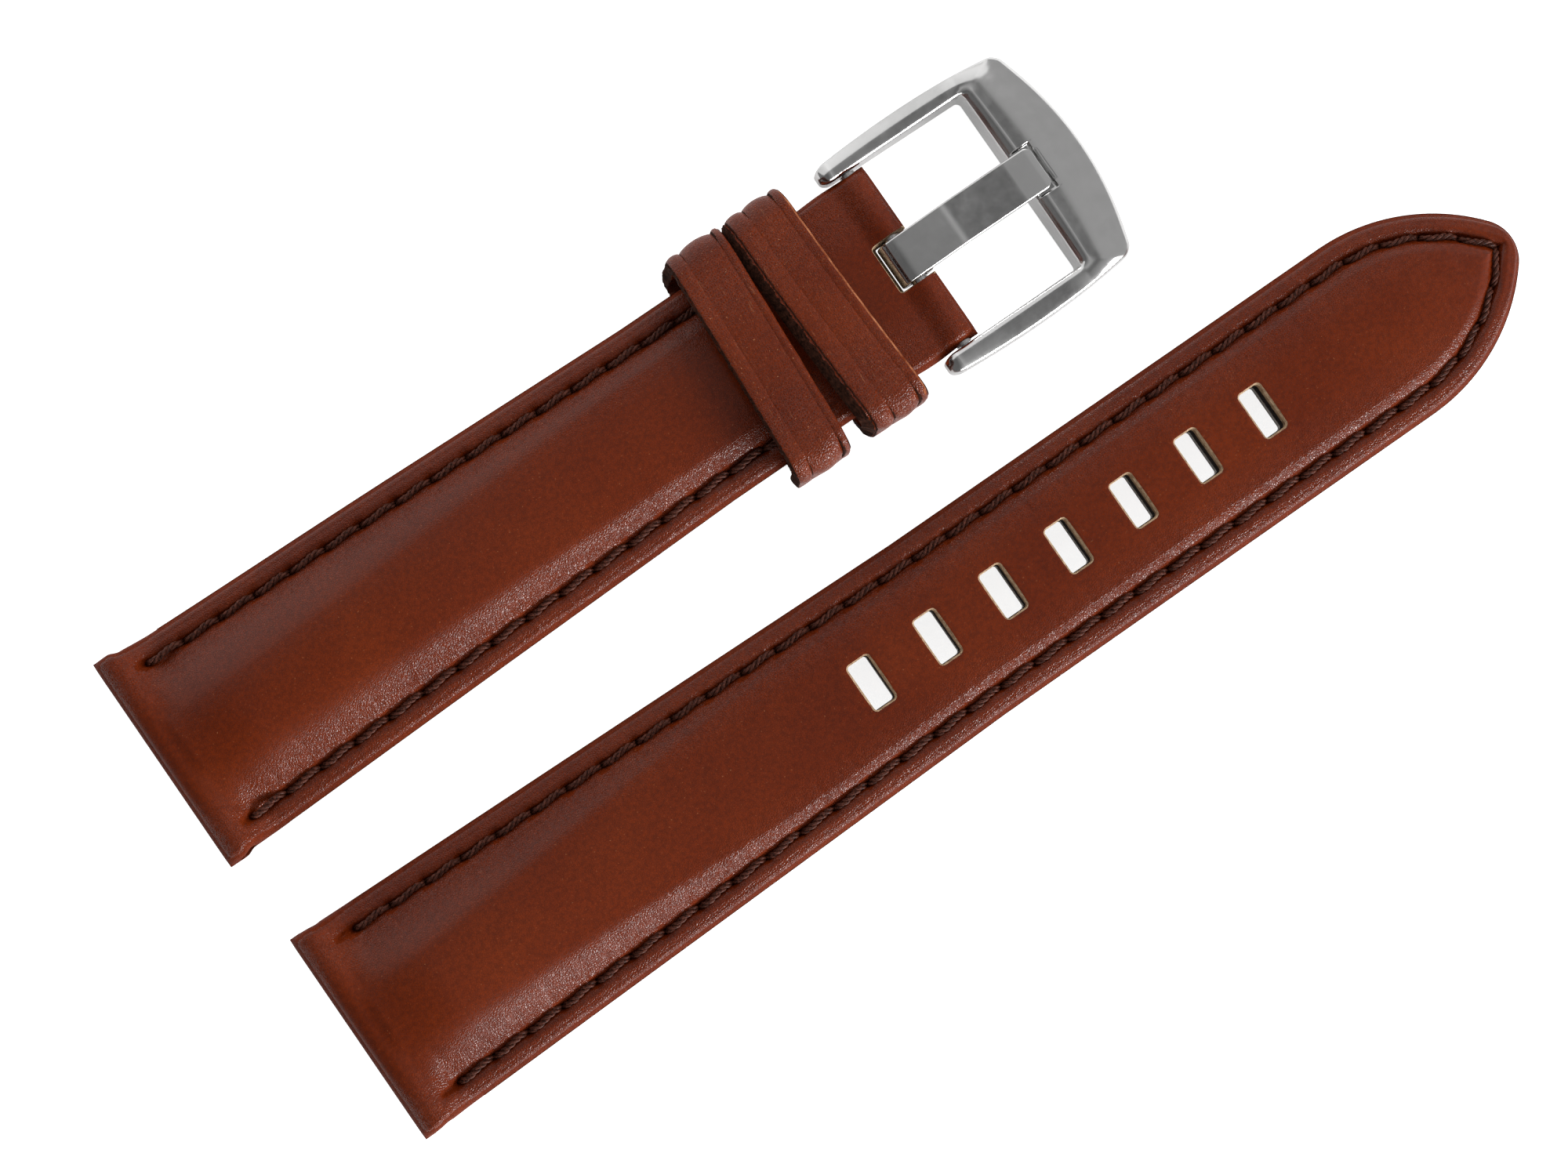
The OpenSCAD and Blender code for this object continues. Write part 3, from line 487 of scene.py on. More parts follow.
def topLevel(half, x, full, blend):
    if x < 0:
        return strap["rollRadius"] + rollHeight(x, strap["rollRadius"])
    if half["tab"] and x > tab["barX"]:
        return tab["rollRadius"] + rollHeight(x - tab["barX"], tab["rollRadius"])
    if half["tab"] and x > tab["barX"] - tab["blend"]:
        return mix(tab["thickness"], 2 * tab["rollRadius"], smooth((x - tab["barX"]) / tab["blend"] + 1))
    if half["tab"] and x > tab["padEnd"] - tab["padBlend"]:
        return mix(full, tab["thickness"], smooth((x - tab["padEnd"]) / tab["padBlend"] + 1))
    return mix(2 * strap["rollRadius"], full, smooth(x / blend))


def seamStrength(half, x):
    s = smooth((x - strap["seamStart"]) / strap["seamFade"] + 1)
    if half["tab"]:
        s *= 1 - smooth((x - tab["padEnd"]) / tab["padBlend"] + 1)
    return float(s)


# Outline round the tip at an inset d: two side curves and a nose that sharpens inwards
drop = tip["sideRadius"] - strap["bodyWidth"] / 2
shoulderX = tip["end"] - tip["noseRadius"] - math.sqrt(
    (tip["sideRadius"] - tip["noseRadius"]) ** 2 - drop ** 2)
tipSteps = tip["sideSteps"] + tip["noseSteps"]


def tipPoint(d, k):
    nose = tip["noseRadius"] * max(0.0, 1 - d / tip["noseFade"])
    radius = tip["sideRadius"] - d
    turn = math.acos(drop / (radius - nose))
    if k < tip["sideSteps"]:
        a = turn * k / tip["sideSteps"]
        return shoulderX + radius * math.sin(a), radius * math.cos(a) - drop
    a = mix(turn, math.pi / 2, (k - tip["sideSteps"]) / tip["noseSteps"])
    noseX = shoulderX + (radius - nose) * math.sin(turn)
    return noseX + nose * math.sin(a), nose * max(0.0, math.cos(a))


def pointAt(half, x, k, d):
    # a station is an x up to the shoulder, then a step k round the tip
    return tipPoint(d, k) if k > 0 else (x, float(halfWidth(half, x)) - d)


# Places on a section: insets of the margin, shares up the padded slope, shares from the ridge to the middle
marginInsets = np.concatenate([
    np.arange(0.34, 1.0, 0.07), np.arange(1.04, 1.6, 0.14), np.arange(1.64, 2.62, 0.08)])
slopeShares = np.concatenate([np.linspace(0.04, 0.5, 8), np.linspace(0.58, 1.0, 6)])
crownShares = 1 - np.array([4.6, 4.1, 3.5, 3.0, 2.75, 2.55, 2.42, 2.34, 2.28, 2.23, 2.1, 1.7, 1.2, 0.6]) / 4.8


def sectionAt(half, x, k):
    # what the upper leather and its padding share at a station
    margin = topLevel(half, x, strap["margin"], strap["marginBlend"])
    t = float(smooth(x / half["crownLength"]))
    crown = topLevel(half, x, mix(half["crownLug"], half["crownEnd"], t), strap["crownBlend"])
    bevel = mix(half["bevelLug"], half["bevelEnd"], t)
    ridge = strap["slopeFoot"] + bevel
    ridgeX, ridgeY = pointAt(half, x, k, ridge)
    dome = strap["dome"] * min(1.0, max(0.0, crown - margin) / 0.4)
    if k > 0:
        dome *= min(1.0, ridgeY / (strap["bodyWidth"] / 2 - ridge))
    return {"margin": margin, "crown": crown, "bevel": bevel, "dome": dome, "ridgeX": ridgeX,
            "ridgeY": ridgeY, "endSlope": 2 * dome / max(ridgeY, 0.3)}


def slopeTop(cut, share):
    rise = cut["crown"] - cut["margin"]
    return cut["margin"] + slopeHeight(share, rise, cut["bevel"], cut["endSlope"])


def crownTop(cut, share):
    return cut["crown"] + cut["dome"] * (1 - (1 - share) ** 2)


def skinRow(half, x, k, hollow, lined):
    # one ring of upper leather: the underside from the middle out, the turned edge, then the top
    cut = sectionAt(half, x, k)
    foot, bevel = strap["slopeFoot"], cut["bevel"]
    bottom = bottomLevel(half, x)
    low = strap["lining"] if lined else bottom
    seam = seamStrength(half, x)
    edgeFall = strap["edgeFall"] * min(1.0, (cut["margin"] - bottom) / strap["fullEdge"])
    side = []

    def topAt(d):
        z = slopeTop(cut, (d - foot) / bevel)
        z += strap["bead"] * seam * bell(d - strap["beadPlace"], strap["beadWidth"])
        z -= strap["marginFall"] * np.clip((strap["fallStart"] - d) / strap["fallLength"], 0, 1) ** 2
        z -= edgeFall * max(0.0, 1 - d / strap["edgeReach"]) ** 2
        return float(z - strap["grooveDepth"] * seam * bell(d - strap["seamInset"], strap["grooveWidth"]))

    def underside(z):
        return max(strap["lining"] + strap["tape"] + 0.1, z - strap["skin"]) if hollow else low

    def put(d, z):
        side.append((*pointAt(half, x, k, d), z))

    for share in crownShares[::-1]:
        side.append((cut["ridgeX"], cut["ridgeY"] * (1 - share), underside(crownTop(cut, share))))
    for d in foot + bevel * slopeShares[::-1]:
        put(max(d, strap["padFoot"]), underside(topAt(d)))
    for d in (strap["padFoot"], 1.8, 1.0, strap["underRound"]):
        put(d, low)
    # round the edge from below, then from its middle up
    middle = mix(low, cut["margin"], 0.42) if lined else mix(bottom, cut["margin"], 0.5)
    for a in np.linspace(math.pi / 8, math.pi / 2, 4):
        put(strap["underRound"] * (1 - math.sin(a)), mix(low, middle, 1 - math.cos(a)))
    for a in np.linspace(0, math.pi / 2, 8)[1:]:
        d = strap["edgeWidth"] * (1 - math.cos(a))
        put(d, mix(middle, topAt(d), math.sin(a)))
    for d in np.concatenate([marginInsets, foot + bevel * slopeShares]):
        put(d, topAt(d))
    for share in crownShares:
        side.append((cut["ridgeX"], cut["ridgeY"] * (1 - share), crownTop(cut, share)))
    topMiddle = (cut["ridgeX"], 0.0, crownTop(cut, 1))
    ring = [(cut["ridgeX"], 0.0, underside(crownTop(cut, 1)))] + side + [topMiddle]
    ring += [(px, -py, pz) for px, py, pz in side[::-1]]
    base = float(baseLevel(half, x))
    return [(px, py, pz + base) for px, py, pz in ring]


# Stations along a half: place, step round the tip, hollow over the padding, lined

def runOf(start, end, count, hollow, lined):
    return [(x, 0, hollow, lined) for x in np.linspace(start, end, count)]


def lugStations():
    roll = [-strap["rollRadius"] * math.cos(math.radians(a)) for a in np.linspace(5, 84, 14)]
    return [(x, 0, False, False) for x in roll] + runOf(0, strap["turnLength"], 17, False, False)


def shortStations():
    padStop = tab["padEnd"] - tab["padBlend"]
    roll = [tab["barX"] + tab["rollRadius"] * math.sin(math.radians(a)) for a in np.linspace(6, 86, 14)]
    return (lugStations() + runOf(strap["turnLength"], padStop, 250, True, True)
            + runOf(padStop, tab["liningEnd"], 40, False, True)
            + runOf(tab["liningEnd"], tab["barX"], 36, False, False)
            + [(x, 0, False, False) for x in roll])


def longStations():
    firstRun = slots["first"] - slots["pitch"] / 2
    lastRun = slots["first"] + (slots["count"] - 0.5) * slots["pitch"]
    near = slots["width"] / 2
    steps = [0.04, 0.12, 0.25, 0.42, 0.65, 0.95, 1.3, 1.7, 2.1]
    local = [near - s / 2 for s in steps[:6]] + [near + s for s in steps] + [0.0]
    stations = lugStations() + runOf(strap["turnLength"], firstRun, 190, True, True)
    for i in range(slots["count"]):  # close together at the edges of a slot
        middle = slots["first"] + i * slots["pitch"]
        xs = sorted({round(middle + sign * s, 4) for s in local for sign in (-1, 1)})
        stations += [(x, 0, True, True) for x in xs]
    stations += runOf(lastRun, shoulderX, 44, True, True)
    return stations + [(shoulderX, k, True, True) for k in range(1, tipSteps + 1)]


def needleHoles(half):
    if half["tab"]:
        count = int((tab["padEnd"] - tab["padBlend"] - strap["seamStart"]) // strap["stitch"])
        xs = strap["seamStart"] + strap["stitch"] * np.arange(count + 1)
        return np.stack([xs, halfWidth(half, xs) - strap["seamInset"]], 1)
    radius = tip["sideRadius"] - strap["seamInset"]
    turn = math.acos(drop / radius)
    arc = radius * turn
    count = int((arc + shoulderX - strap["seamStart"]) // strap["stitch"])
    holes = []
    for i in range(count + 1):
        s = i * strap["stitch"]
        if s < arc:
            a = turn - s / radius
            holes.append((shoulderX + radius * math.sin(a), radius * math.cos(a) - drop))
        else:
            x = shoulderX - (s - arc)
            holes.append((x, float(halfWidth(half, x)) - strap["seamInset"]))
    return np.array(holes)


# Upper leathers

pucker = {
    "reach": 3.0, "dip": 0.55, "dipWidth": 0.42, "lip": 0.24, "lipWidth": 0.28, "lipPlace": 0.62,
    "crease": 0.15, "creaseWidth": 0.34, "creaseStart": 0.3, "creaseReach": 1.2,
}


def puckerSkin(points, half):
    # each needle hole draws the skin in: a dip, a lip beside it and a crease up the slope
    holes = needleHoles(half)
    sideCount = points.shape[1] // 2 - 1
    topFrom = sideCount + 1 - len(marginInsets) - len(slopeShares) - len(crownShares)
    for side, places in ((1, np.arange(topFrom, sideCount + 2)),
                         (-1, np.arange(sideCount + 2, points.shape[1] - topFrom + 1))):
        x, y = points[:, places, 0], points[:, places, 1] * side
        lift = np.zeros_like(x)
        for n, hole in enumerate(holes):
            near = np.abs(x - hole[0]) < pucker["reach"]
            if not near.any():
                continue
            run = holes[n + 1] - hole if n + 1 < len(holes) else hole - holes[n - 1]
            run = run / np.linalg.norm(run)
            inward = np.array([run[1], -run[0]]) * (-1 if run[0] < 0 else 1)
            along = (x - hole[0]) * run[0] + (y - hole[1]) * run[1]
            across = (x - hole[0]) * inward[0] + (y - hole[1]) * inward[1]
            lift -= near * pucker["dip"] * np.exp(-(along ** 2 + across ** 2) / pucker["dipWidth"] ** 2)
            lift += near * pucker["lip"] * np.exp(
                -(along ** 2 + (across - pucker["lipPlace"]) ** 2) / pucker["lipWidth"] ** 2)
            lift -= near * pucker["crease"] * bell(along, pucker["creaseWidth"]) * np.where(
                across > pucker["creaseStart"],
                np.exp(-(across - pucker["creaseStart"]) / pucker["creaseReach"]), 0)
        points[:, places, 2] += lift


def softSlots(points):
    # the skin sinks towards each slot and stands up a little round it
    x, y, z = points[..., 0], points[..., 1], points[..., 2]
    for i in range(slots["count"]):
        middle = slots["first"] + i * slots["pitch"]
        dx = np.abs(x - middle) - (slots["width"] / 2 - slots["corner"])
        dy = np.abs(y) - (slots["length"] / 2 - slots["corner"])
        away = np.hypot(np.maximum(dx, 0), np.maximum(dy, 0)) - slots["corner"]
        sink = slots["dip"] * np.exp(-np.maximum(away, 0) / slots["dipFade"])
        lip = slots["lip"] * bell(away - slots["lipPlace"], slots["lipWidth"])
        z += np.where(away < slots["reach"], lip - sink, 0)


tabWave = {"start": 62.0, "fadeIn": 4.0, "end": 72.5, "fadeOut": 2.0, "across": 0.02, "skew": 0.025,
           "pinch": 0.008}


def waveTab(points):
    # the tab lies a little wavy and is pinched beside the keepers
    x, y, z = points[..., 0], points[..., 1], points[..., 2]
    onTab = smooth((x - tabWave["start"]) / tabWave["fadeIn"])
    onTab = onTab * (1 - smooth((x - tabWave["end"]) / tabWave["fadeOut"]))
    z += onTab * (tabWave["across"] * np.sin(x * 1.1 + y * 0.35)
                  + tabWave["skew"] * np.sin(y * 0.9 - x * 0.4 + 1.0))
    y *= 1 + onTab * tabWave["pinch"] * np.sin(x * 0.9 + 0.7)


def slotCutter():
    shift = longHalf["shift"]
    places = [(slots["first"] + i * slots["pitch"] + shift[0], shift[1]) for i in range(slots["count"])]
    low, high = slots["rimLevels"]
    levels = [(-past, 0.0), (low, 0.0), (high, slots["rim"]), (past, slots["rim"])]
    return holeCutter("slotCut", places, slots["width"], slots["length"], slots["corner"], levels)


def onSlotWall(face, centre, normal, edge=0.19):
    step = (centre.x - longHalf["shift"][0] - slots["first"]) / slots["pitch"]
    return (abs(normal.z) < 0.8 and centre.z < 1.1 and -0.4 < step < slots["count"] - 0.6
            and abs(step - round(step)) * slots["pitch"] < slots["width"] / 2 + edge
            and abs(centre.y - longHalf["shift"][1]) < slots["length"] / 2 + edge)


def onTurnedEdge(face, centre, normal):
    return face.material_index == 0 and abs(normal.z) < 0.69


def onNotchWall(face, centre, normal):
    back, side = tab["barX"] - tab["notchBack"], tab["notchWidth"] / 2
    if centre.x <= back - 0.2 or abs(centre.y) >= side + 0.15:
        return False
    upright = abs(normal.z) < 0.85 and (abs(abs(centre.y) - side) < 0.18 or centre.x < back + 0.05)
    return upright or (normal.z > 0.9 and centre.z < 0 and centre.x < back + 0.6)


def makeShortLeather():
    points = np.array([skinRow(shortHalf, *station) for station in shortStations()])
    puckerSkin(points, shortHalf)
    waveTab(points)
    piece = loft("short_leather", points)
    dress(piece, [leatherMat, cutMat, turnedMat], "short_half", "short_upper_leather", 35)
    back, length = tab["barX"] - tab["notchBack"], tab["notchLength"]
    notch = length, tab["notchWidth"], tab["notchCorner"]
    low, high = tab["notchRimLevels"]
    rim = [(-0.15, 0), (low, 0), (high, tab["notchRim"]), (past + 2, tab["notchRim"])]
    cutAway([piece], [
        crossCutter("lugBore", 0, 0, strap["boreRadius"], *shortHalf["span"]),
        crossCutter("barBore", tab["barX"], tab["barZ"], tab["barBore"], *shortHalf["span"]),
        holeCutter("notch", [(back + length / 2, 0)], *notch, rim),
        holeCutter("notchBelow", [(back + length / 2 + 0.5, 0)], *notch, [(-past, 0), (-0.10, 0)]),
    ], 35)
    markFaces(piece, 1, onNotchWall)
    markFaces(piece, 2, onTurnedEdge)


def makeLongLeather():
    points = np.array([skinRow(longHalf, *station) for station in longStations()])
    puckerSkin(points, longHalf)
    softSlots(points)
    piece = loft("long_leather", points, longHalf["shift"], endCap=False)
    dress(piece, [longLeatherMat, cutMat, turnedMat], "long_half", "long_upper_leather", 35)
    bore = crossCutter("lugBore", longHalf["shift"][0], 0, strap["boreRadius"], *longHalf["span"])
    cutAway([piece], [slotCutter(), bore], 35)
    markFaces(piece, 1, onSlotWall)
    markFaces(piece, 2, onTurnedEdge)


# Padding, tape and lining under each upper leather

layer = {"gap": 0.02, "leastPad": 0.06, "liningGap": 0.005, "dimple": 0.12, "dimpleWidth": 0.4}


def padRow(half, x, k):
    cut = sectionAt(half, x, k)
    floor = strap["lining"] + strap["tape"]
    places = [pointAt(half, x, k, max(strap["slopeFoot"] + cut["bevel"] * share, strap["padFoot"]))
              for share in slopeShares]
    places += [(cut["ridgeX"], cut["ridgeY"] * (1 - share)) for share in crownShares]
    heights = [slopeTop(cut, share) for share in slopeShares]
    heights += [crownTop(cut, share) for share in crownShares]
    top = [(*place, max(floor + layer["leastPad"], z - strap["skin"] - layer["gap"]))
           for place, z in zip(places, heights)]
    low = [(*place, floor) for place in places]
    return mirrorRing(low[::-1] + top, float(baseLevel(half, x)))


def addLayer(half, kind, rows, materials, replaced, sharp):
    name = half["name"]
    piece = loft(name + kind, rows, half["shift"])
    dress(piece, materials, name + "_half", name + replaced, sharp)
    return piece


def makePadding(half, stations):
    rows = [padRow(half, x, k) for x, k, hollow, lined in stations if hollow]
    piece = addLayer(half, "_felt", rows, [feltMat, slotShadeMat], "_padding", 40)
    return piece


def tapeRow(half, x, k):
    px, py = pointAt(half, x, k, strap["padFoot"] + 0.02)
    low, high = strap["lining"] + 0.01, strap["lining"] + strap["tape"] - 0.01
    shares = (0, 0.25, 0.5, 0.75, 1)
    side = [(px, py * s, low) for s in shares] + [(px, py * s, high) for s in shares[::-1]]
    return mirrorRing(side, float(baseLevel(half, x)))


def makeTape(half, stations):
    rows = [tapeRow(half, x, k) for x, k, hollow, lined in stations[::2] + stations[-1:] if hollow]
    return addLayer(half, "_tape", rows, [tapeMat, slotShadeMat], "_reinforcement", 40)


def liningRow(half, x, k):
    # up the edge from above, along the margin with the thread's channel, then to the middle
    edge = strap["liningInset"]
    atSeam = np.linspace(1.78, 2.52, 11)
    insets = [edge + 0.12, edge, edge, edge + 0.12, *np.linspace(1.1, 1.7, 4), *atSeam]
    levels = [strap["lining"] - layer["liningGap"], 0.65, 0.12] + [0.0] * 5
    levels += [strap["channel"] * bell(d - strap["seamInset"], strap["channelWidth"]) for d in atSeam]
    side = [(*pointAt(half, x, k, d), z) for d, z in zip(insets, levels)]
    upper = [(side[0][0], side[0][1] * s, side[0][2]) for s in (0, 0.4, 0.8)]
    innerX, innerY = pointAt(half, x, k, 2.8)
    lower = [(innerX, innerY * s, 0.0) for s in (1, 0.8, 0.6, 0.4, 0.26, 0.15, 0)]
    return mirrorRing(upper + side + lower, float(baseLevel(half, x)))


def makeLining(half, stations):
    points = np.array([liningRow(half, x, k) for x, k, hollow, lined in stations if lined])
    x, y, z = points[..., 0], np.abs(points[..., 1]), points[..., 2]
    floor = baseLevel(half, x)
    under = (z - floor) < 0.6
    for hx, hy in needleHoles(half):  # the lower thread pulls a dimple in at every hole
        z += under * layer["dimple"] * np.exp(-((x - hx) ** 2 + (y - hy) ** 2) / layer["dimpleWidth"] ** 2)
    points[..., 2] = np.minimum(z, floor + strap["lining"] - layer["liningGap"])
    return addLayer(half, "_lining_leather", points, [liningMat, liningMat], "_lining", 50)


def makeLayers(half, stations):
    return [make(half, stations) for make in (makePadding, makeTape, makeLining)]


makeShortLeather()
print("short leather made")
makeLongLeather()
print("long leather made")
makeLayers(shortHalf, shortStations())
longLayers = makeLayers(longHalf, longStations())
cutAway(longLayers, [slotCutter()], 45)
# the felt's and tape's slot walls get the painted shade; the lining's walls keep the lining colour
for piece in longLayers:
    markFaces(piece, 1, onSlotWall)
print("layers made")


# Stitches: three twisted plies from hole to hole

needleThread = {"ply": 0.155, "offset": 0.16, "lay": 1.9, "steps": 30, "sides": 7, "rise": 0.05, "dive": 0.95,
                "reach": 0.075, "sway": 0.11, "thin": 0.45, "thinReach": 0.06, "sink": 0.10}
bobbinThread = {"ply": 0.10, "offset": 0.095, "lay": 1.4, "steps": 18, "sides": 6, "rise": 0.0, "dive": 0.35,
                "reach": 0.06, "sway": 0.03, "thin": 0.3, "thinReach": 0.06, "sink": -0.19}


def seamLevel(half, x, settings, under):
    skin = 0.0 if under else topLevel(half, x, strap["margin"], strap["marginBlend"])
    return float(baseLevel(half, x)) + skin - settings["sink"]


def endFade(u, reach):
    return np.exp(-u / reach) + np.exp(-(1 - u) / reach)


def unit(rows):
    return rows / np.linalg.norm(rows, axis=1, keepdims=True)


def stitchPlies(start, end, levels, settings, side, under):
    # the stitch dives into both holes, sways a little and thins towards its ends
    run = np.array(end) - np.array(start)
    length = np.linalg.norm(run)
    ahead = run / length
    aside = np.array([-ahead[1], ahead[0]])
    u = np.linspace(0.02, 0.98, settings["steps"])
    inwards = 1 if under else -1
    z = np.interp(u, [0, 1], levels) + inwards * (
        settings["dive"] * endFade(u, settings["reach"]) - settings["rise"] * np.sin(np.pi * u))
    sway = -settings["sway"] * np.sin(2 * np.pi * u)
    centre = np.stack([start[0] + ahead[0] * u * length + aside[0] * sway,
                       start[1] + ahead[1] * u * length + aside[1] * sway, z], 1)
    tangent = unit(np.gradient(centre, axis=0))
    sideways = np.cross(tangent, [0, 0, 1.0])
    steep = np.linalg.norm(sideways, axis=1, keepdims=True) < 0.2
    sideways = unit(np.where(steep, [*aside, 0.0], sideways))
    upward = np.cross(sideways, tangent)
    taper = (1 - settings["thin"] * endFade(u, settings["thinReach"]))[:, None]
    plies = []
    for p in range(3):
        phase = (2 * np.pi * (p / 3 + u * length / settings["lay"] * side))[:, None]
        middle = centre + settings["offset"] * taper * (np.cos(phase) * sideways + np.sin(phase) * upward)
        turns = 2 * np.pi * np.arange(settings["sides"]) / settings["sides"]
        plies.append(np.stack([middle + settings["ply"] * taper * (
            math.cos(a) * sideways + math.sin(a) * upward) for a in turns], 1))
    return plies


def makeSeam(half, name, settings, replaced, under=False):
    holes = needleHoles(half)
    points, faces = [], []
    for side in (1, -1):
        for a, b in zip(holes[:-1], holes[1:]):
            if under and min(a[0], b[0]) < strap["turnLength"] + 0.3:
                continue
            levels = [seamLevel(half, hole[0], settings, under) for hole in (a, b)]
            for ply in stitchPlies((a[0], a[1] * side), (b[0], b[1] * side), levels, settings, side, under):
                start = len(points)
                points += list(ply.reshape(-1, 3))
                faces += [tuple(i + start for i in face) for face in ringFaces(*ply.shape[:2])]
    piece = newPiece(half["name"] + name, np.array(points) + (*half["shift"], 0), faces)
    dress(piece, [threadMat], half["name"] + "_half", half["name"] + replaced, 60)


for half in (shortHalf, longHalf):
    makeSeam(half, "_top_stitches", needleThread, "_needle_thread")
    makeSeam(half, "_under_stitches", bobbinThread, "_bobbin_thread", under=True)
print("stitches made")


# Keepers: bands of thick leather with two creases, rough cut edges and wavy rolled ends

keeper = {
    "width": 5.3, "thick": 1.2, "corner": 2.2, "innerWidth": 19.487, "innerHeight": 5.35, "low": 0.8,
    "lobe": 0.085, "leastLobe": 0.3, "lobePower": 0.7, "cornerLobe": 0.34, "bulge": 0.24,
    "cornerPlace": 0.85, "cornerReach": 0.42, "farCorner": 0.7, "edgeDrop": 0.16, "edgeBevel": 0.06,
    "step": 0.16, "reach": 11, "leanHeight": 3.0, "slow": 0.035, "quick": 0.03, "random": 0.05, "clean": 0.02,
    "fuzz": 0.11, "frayPower": 6,
}
# the flank is how far the left cut edge slants out, laying its painted shade over the shaded gap between the
# keepers
fixedKeeper = {
    "x": 65.0, "under": 1.15, "bend": -0.15, "lean": 0.35, "creases": (-0.9, 1.7), "shadeFlank": 0.9, "seed": 3,
}
freeKeeper = {
    "x": 58.2, "under": 0.8, "bend": 0.05, "lean": -0.65, "creases": (-1.25, 1.9), "shadeFlank": 0.05, "seed": 8,
}


def keeperPath(outWidth, outHeight):
    # the band's outer line with its outward direction: y, z, then the two parts of the normal
    w, h, r = outWidth / 2, outHeight, keeper["corner"]
    corners = [(w - r, h - r, 0), (-(w - r), h - r, 90), (-(w - r), r, 180), (w - r, r, 270)]
    path = []
    for n, (cy, cz, start) in enumerate(corners):
        for a in np.radians(np.linspace(start, start + 90, 16)):
            path.append((cy + r * math.cos(a), cz + r * math.sin(a), math.cos(a), math.sin(a)))
        a = math.radians(start + 90)
        out = np.array([math.cos(a), math.sin(a)])
        p, q = np.array([cy, cz]) + r * out, np.array(corners[(n + 1) % 4][:2]) + r * out
        count = max(2, int(np.linalg.norm(q - p) / keeper["step"]))
        path += [(*mix(p, q, t), *out) for t in np.linspace(0, 1, count)[1:-1]]
    return np.array(path)


def acrossKeeper(settings):
    # places across the band: its edges, an even run and close steps at both creases
    half = keeper["width"] / 2
    steps = (-0.22, -0.13, -0.07, -0.03, 0.0, 0.03, 0.07, 0.13, 0.22)
    atCreases = [crease + step for crease in settings["creases"] for step in steps]
    edges = [-half + 0.02, -half + 0.06, half - 0.09, half - 0.03]
    return np.unique(np.round([*edges, *np.linspace(-half + 0.12, half - 0.20, 25), *atCreases], 3))


def keeperLift(a, bounds, corner, upper):
    # a lobe between each pair of creases, higher at the bends, and edges that fall away
    half = keeper["width"] / 2
    lobe = next(n for n in range(len(bounds) - 1) if a <= bounds[n + 1] + 1e-6)
    t = np.clip((a - bounds[lobe]) / (bounds[lobe + 1] - bounds[lobe]), 0, 1)
    depth = (keeper["lobe"] + keeper["cornerLobe"] * corner) * max(upper, keeper["leastLobe"])
    lift = keeper["bulge"] * corner * (1 - (a / half) ** 2)
    lift -= depth * (1 - (4 * t * (1 - t)) ** keeper["lobePower"])
    if abs(a) > half - 0.095:
        lift -= keeper["edgeDrop"] if abs(a) > half - 0.035 else keeper["edgeBevel"]
    return lift


def makeKeeper(name, settings, body, replaced):
    half, under, creases, seed = keeper["width"] / 2, settings["under"], settings["creases"], settings["seed"]
    outHeight = keeper["innerHeight"] + keeper["low"] + keeper["thick"]
    path = keeperPath(keeper["innerWidth"] + 2 * keeper["thick"], outHeight)
    sweep = np.cumsum(np.linalg.norm(np.diff(path[:, :2], axis=0, append=path[:1, :2]), axis=1))
    across = acrossKeeper(settings)
    bounds = [-half - 0.1, *creases, half + 0.1]
    rng = np.random.default_rng(seed)
    rows = []
    for s, (y, z, ny, nz) in zip(sweep, path):
        thick = keeper["thick"] if z > under else mix(under, keeper["thick"], smooth(z / keeper["corner"]))
        if nz < -0.99:  # the thinner run below the strap
            thick = under
        upper = smooth((z / outHeight - 0.2) / 0.4)
        corner = bell(abs(ny) - keeper["cornerPlace"], keeper["cornerReach"]) * upper
        corner *= 1.0 if y < 0 else keeper["farCorner"]
        aside = y / keeper["reach"]
        bent = settings["bend"] * aside ** 2 + settings["lean"] * aside
        cx = settings["x"] - smooth(z / keeper["leanHeight"]) * bent
        ragged = keeper["slow"] * math.sin(s * 3.1 + seed) + keeper["quick"] * math.sin(s * 7.7 + 2 * seed)
        ragged += keeper["random"] * (rng.random() - 0.5)
        clean = keeper["clean"] * math.sin(s * 1.3 + seed)
        outer = []
        for a in across:
            lift = keeperLift(a, bounds, corner, upper)
            fray = math.copysign((ragged if a < 0 else clean) * (abs(a) / half) ** keeper["frayPower"], a)
            outer.append((cx + a + fray, y + ny * lift, z + nz * lift))
        right, left = [], []
        for t in (0.16, 0.3, 0.5, 0.7, 0.88):  # the cut edges, from the grain side to the inside
            fuzz = keeper["fuzz"] * (rng.random() - 0.5)
            place = y - ny * thick * t, z - nz * thick * t
            right.append((cx + half + clean, *place))
            # the left edge slants out by the flank, so a dark face with painted shade covers the gap beside
            # it
            left.append((cx - half - ragged + fuzz - settings["shadeFlank"] * t * upper, *place))
        low = -half + 0.02 - settings["shadeFlank"] * upper
        inner = [(cx + mix(low, half - 0.02, u), y - ny * (thick - 0.02), z - nz * (thick - 0.02))
                 for u in np.linspace(1, 0, 10)]
        rows.append(outer + right + inner + left[::-1])
    points = np.array(rows)
    points[..., 2] = np.maximum(points[..., 2] + strap["table"], strap["table"])
    piece = loft(name, points, join=2e-8, closed=True)
    dress(piece, [keeperMat, rawEdgeShadeMat, wornMat], body, replaced, 60)
    # both cut edges get the near-black edge colour, which is partly painted shade
    markFaces(piece, 1, lambda face, centre, normal: normal.x < -0.6 or normal.x > 0.93)
    return piece


def onWornEdge(face, centre, normal):
    return (0.35 < normal.x <= 0.93 and normal.z > 0.45
            and centre.x > fixedKeeper["x"] + keeper["width"] / 2 - 0.5)


fixedLoop = makeKeeper("fixed_keeper_loop", fixedKeeper, "short_half", "fixed_keeper")
markFaces(fixedLoop, 2, onWornEdge)
makeKeeper("free_keeper_loop", freeKeeper, "free_keeper", "free_keeper")
print("keepers made")


# Buckle frame: a section carried round from one arm's tip to the other's

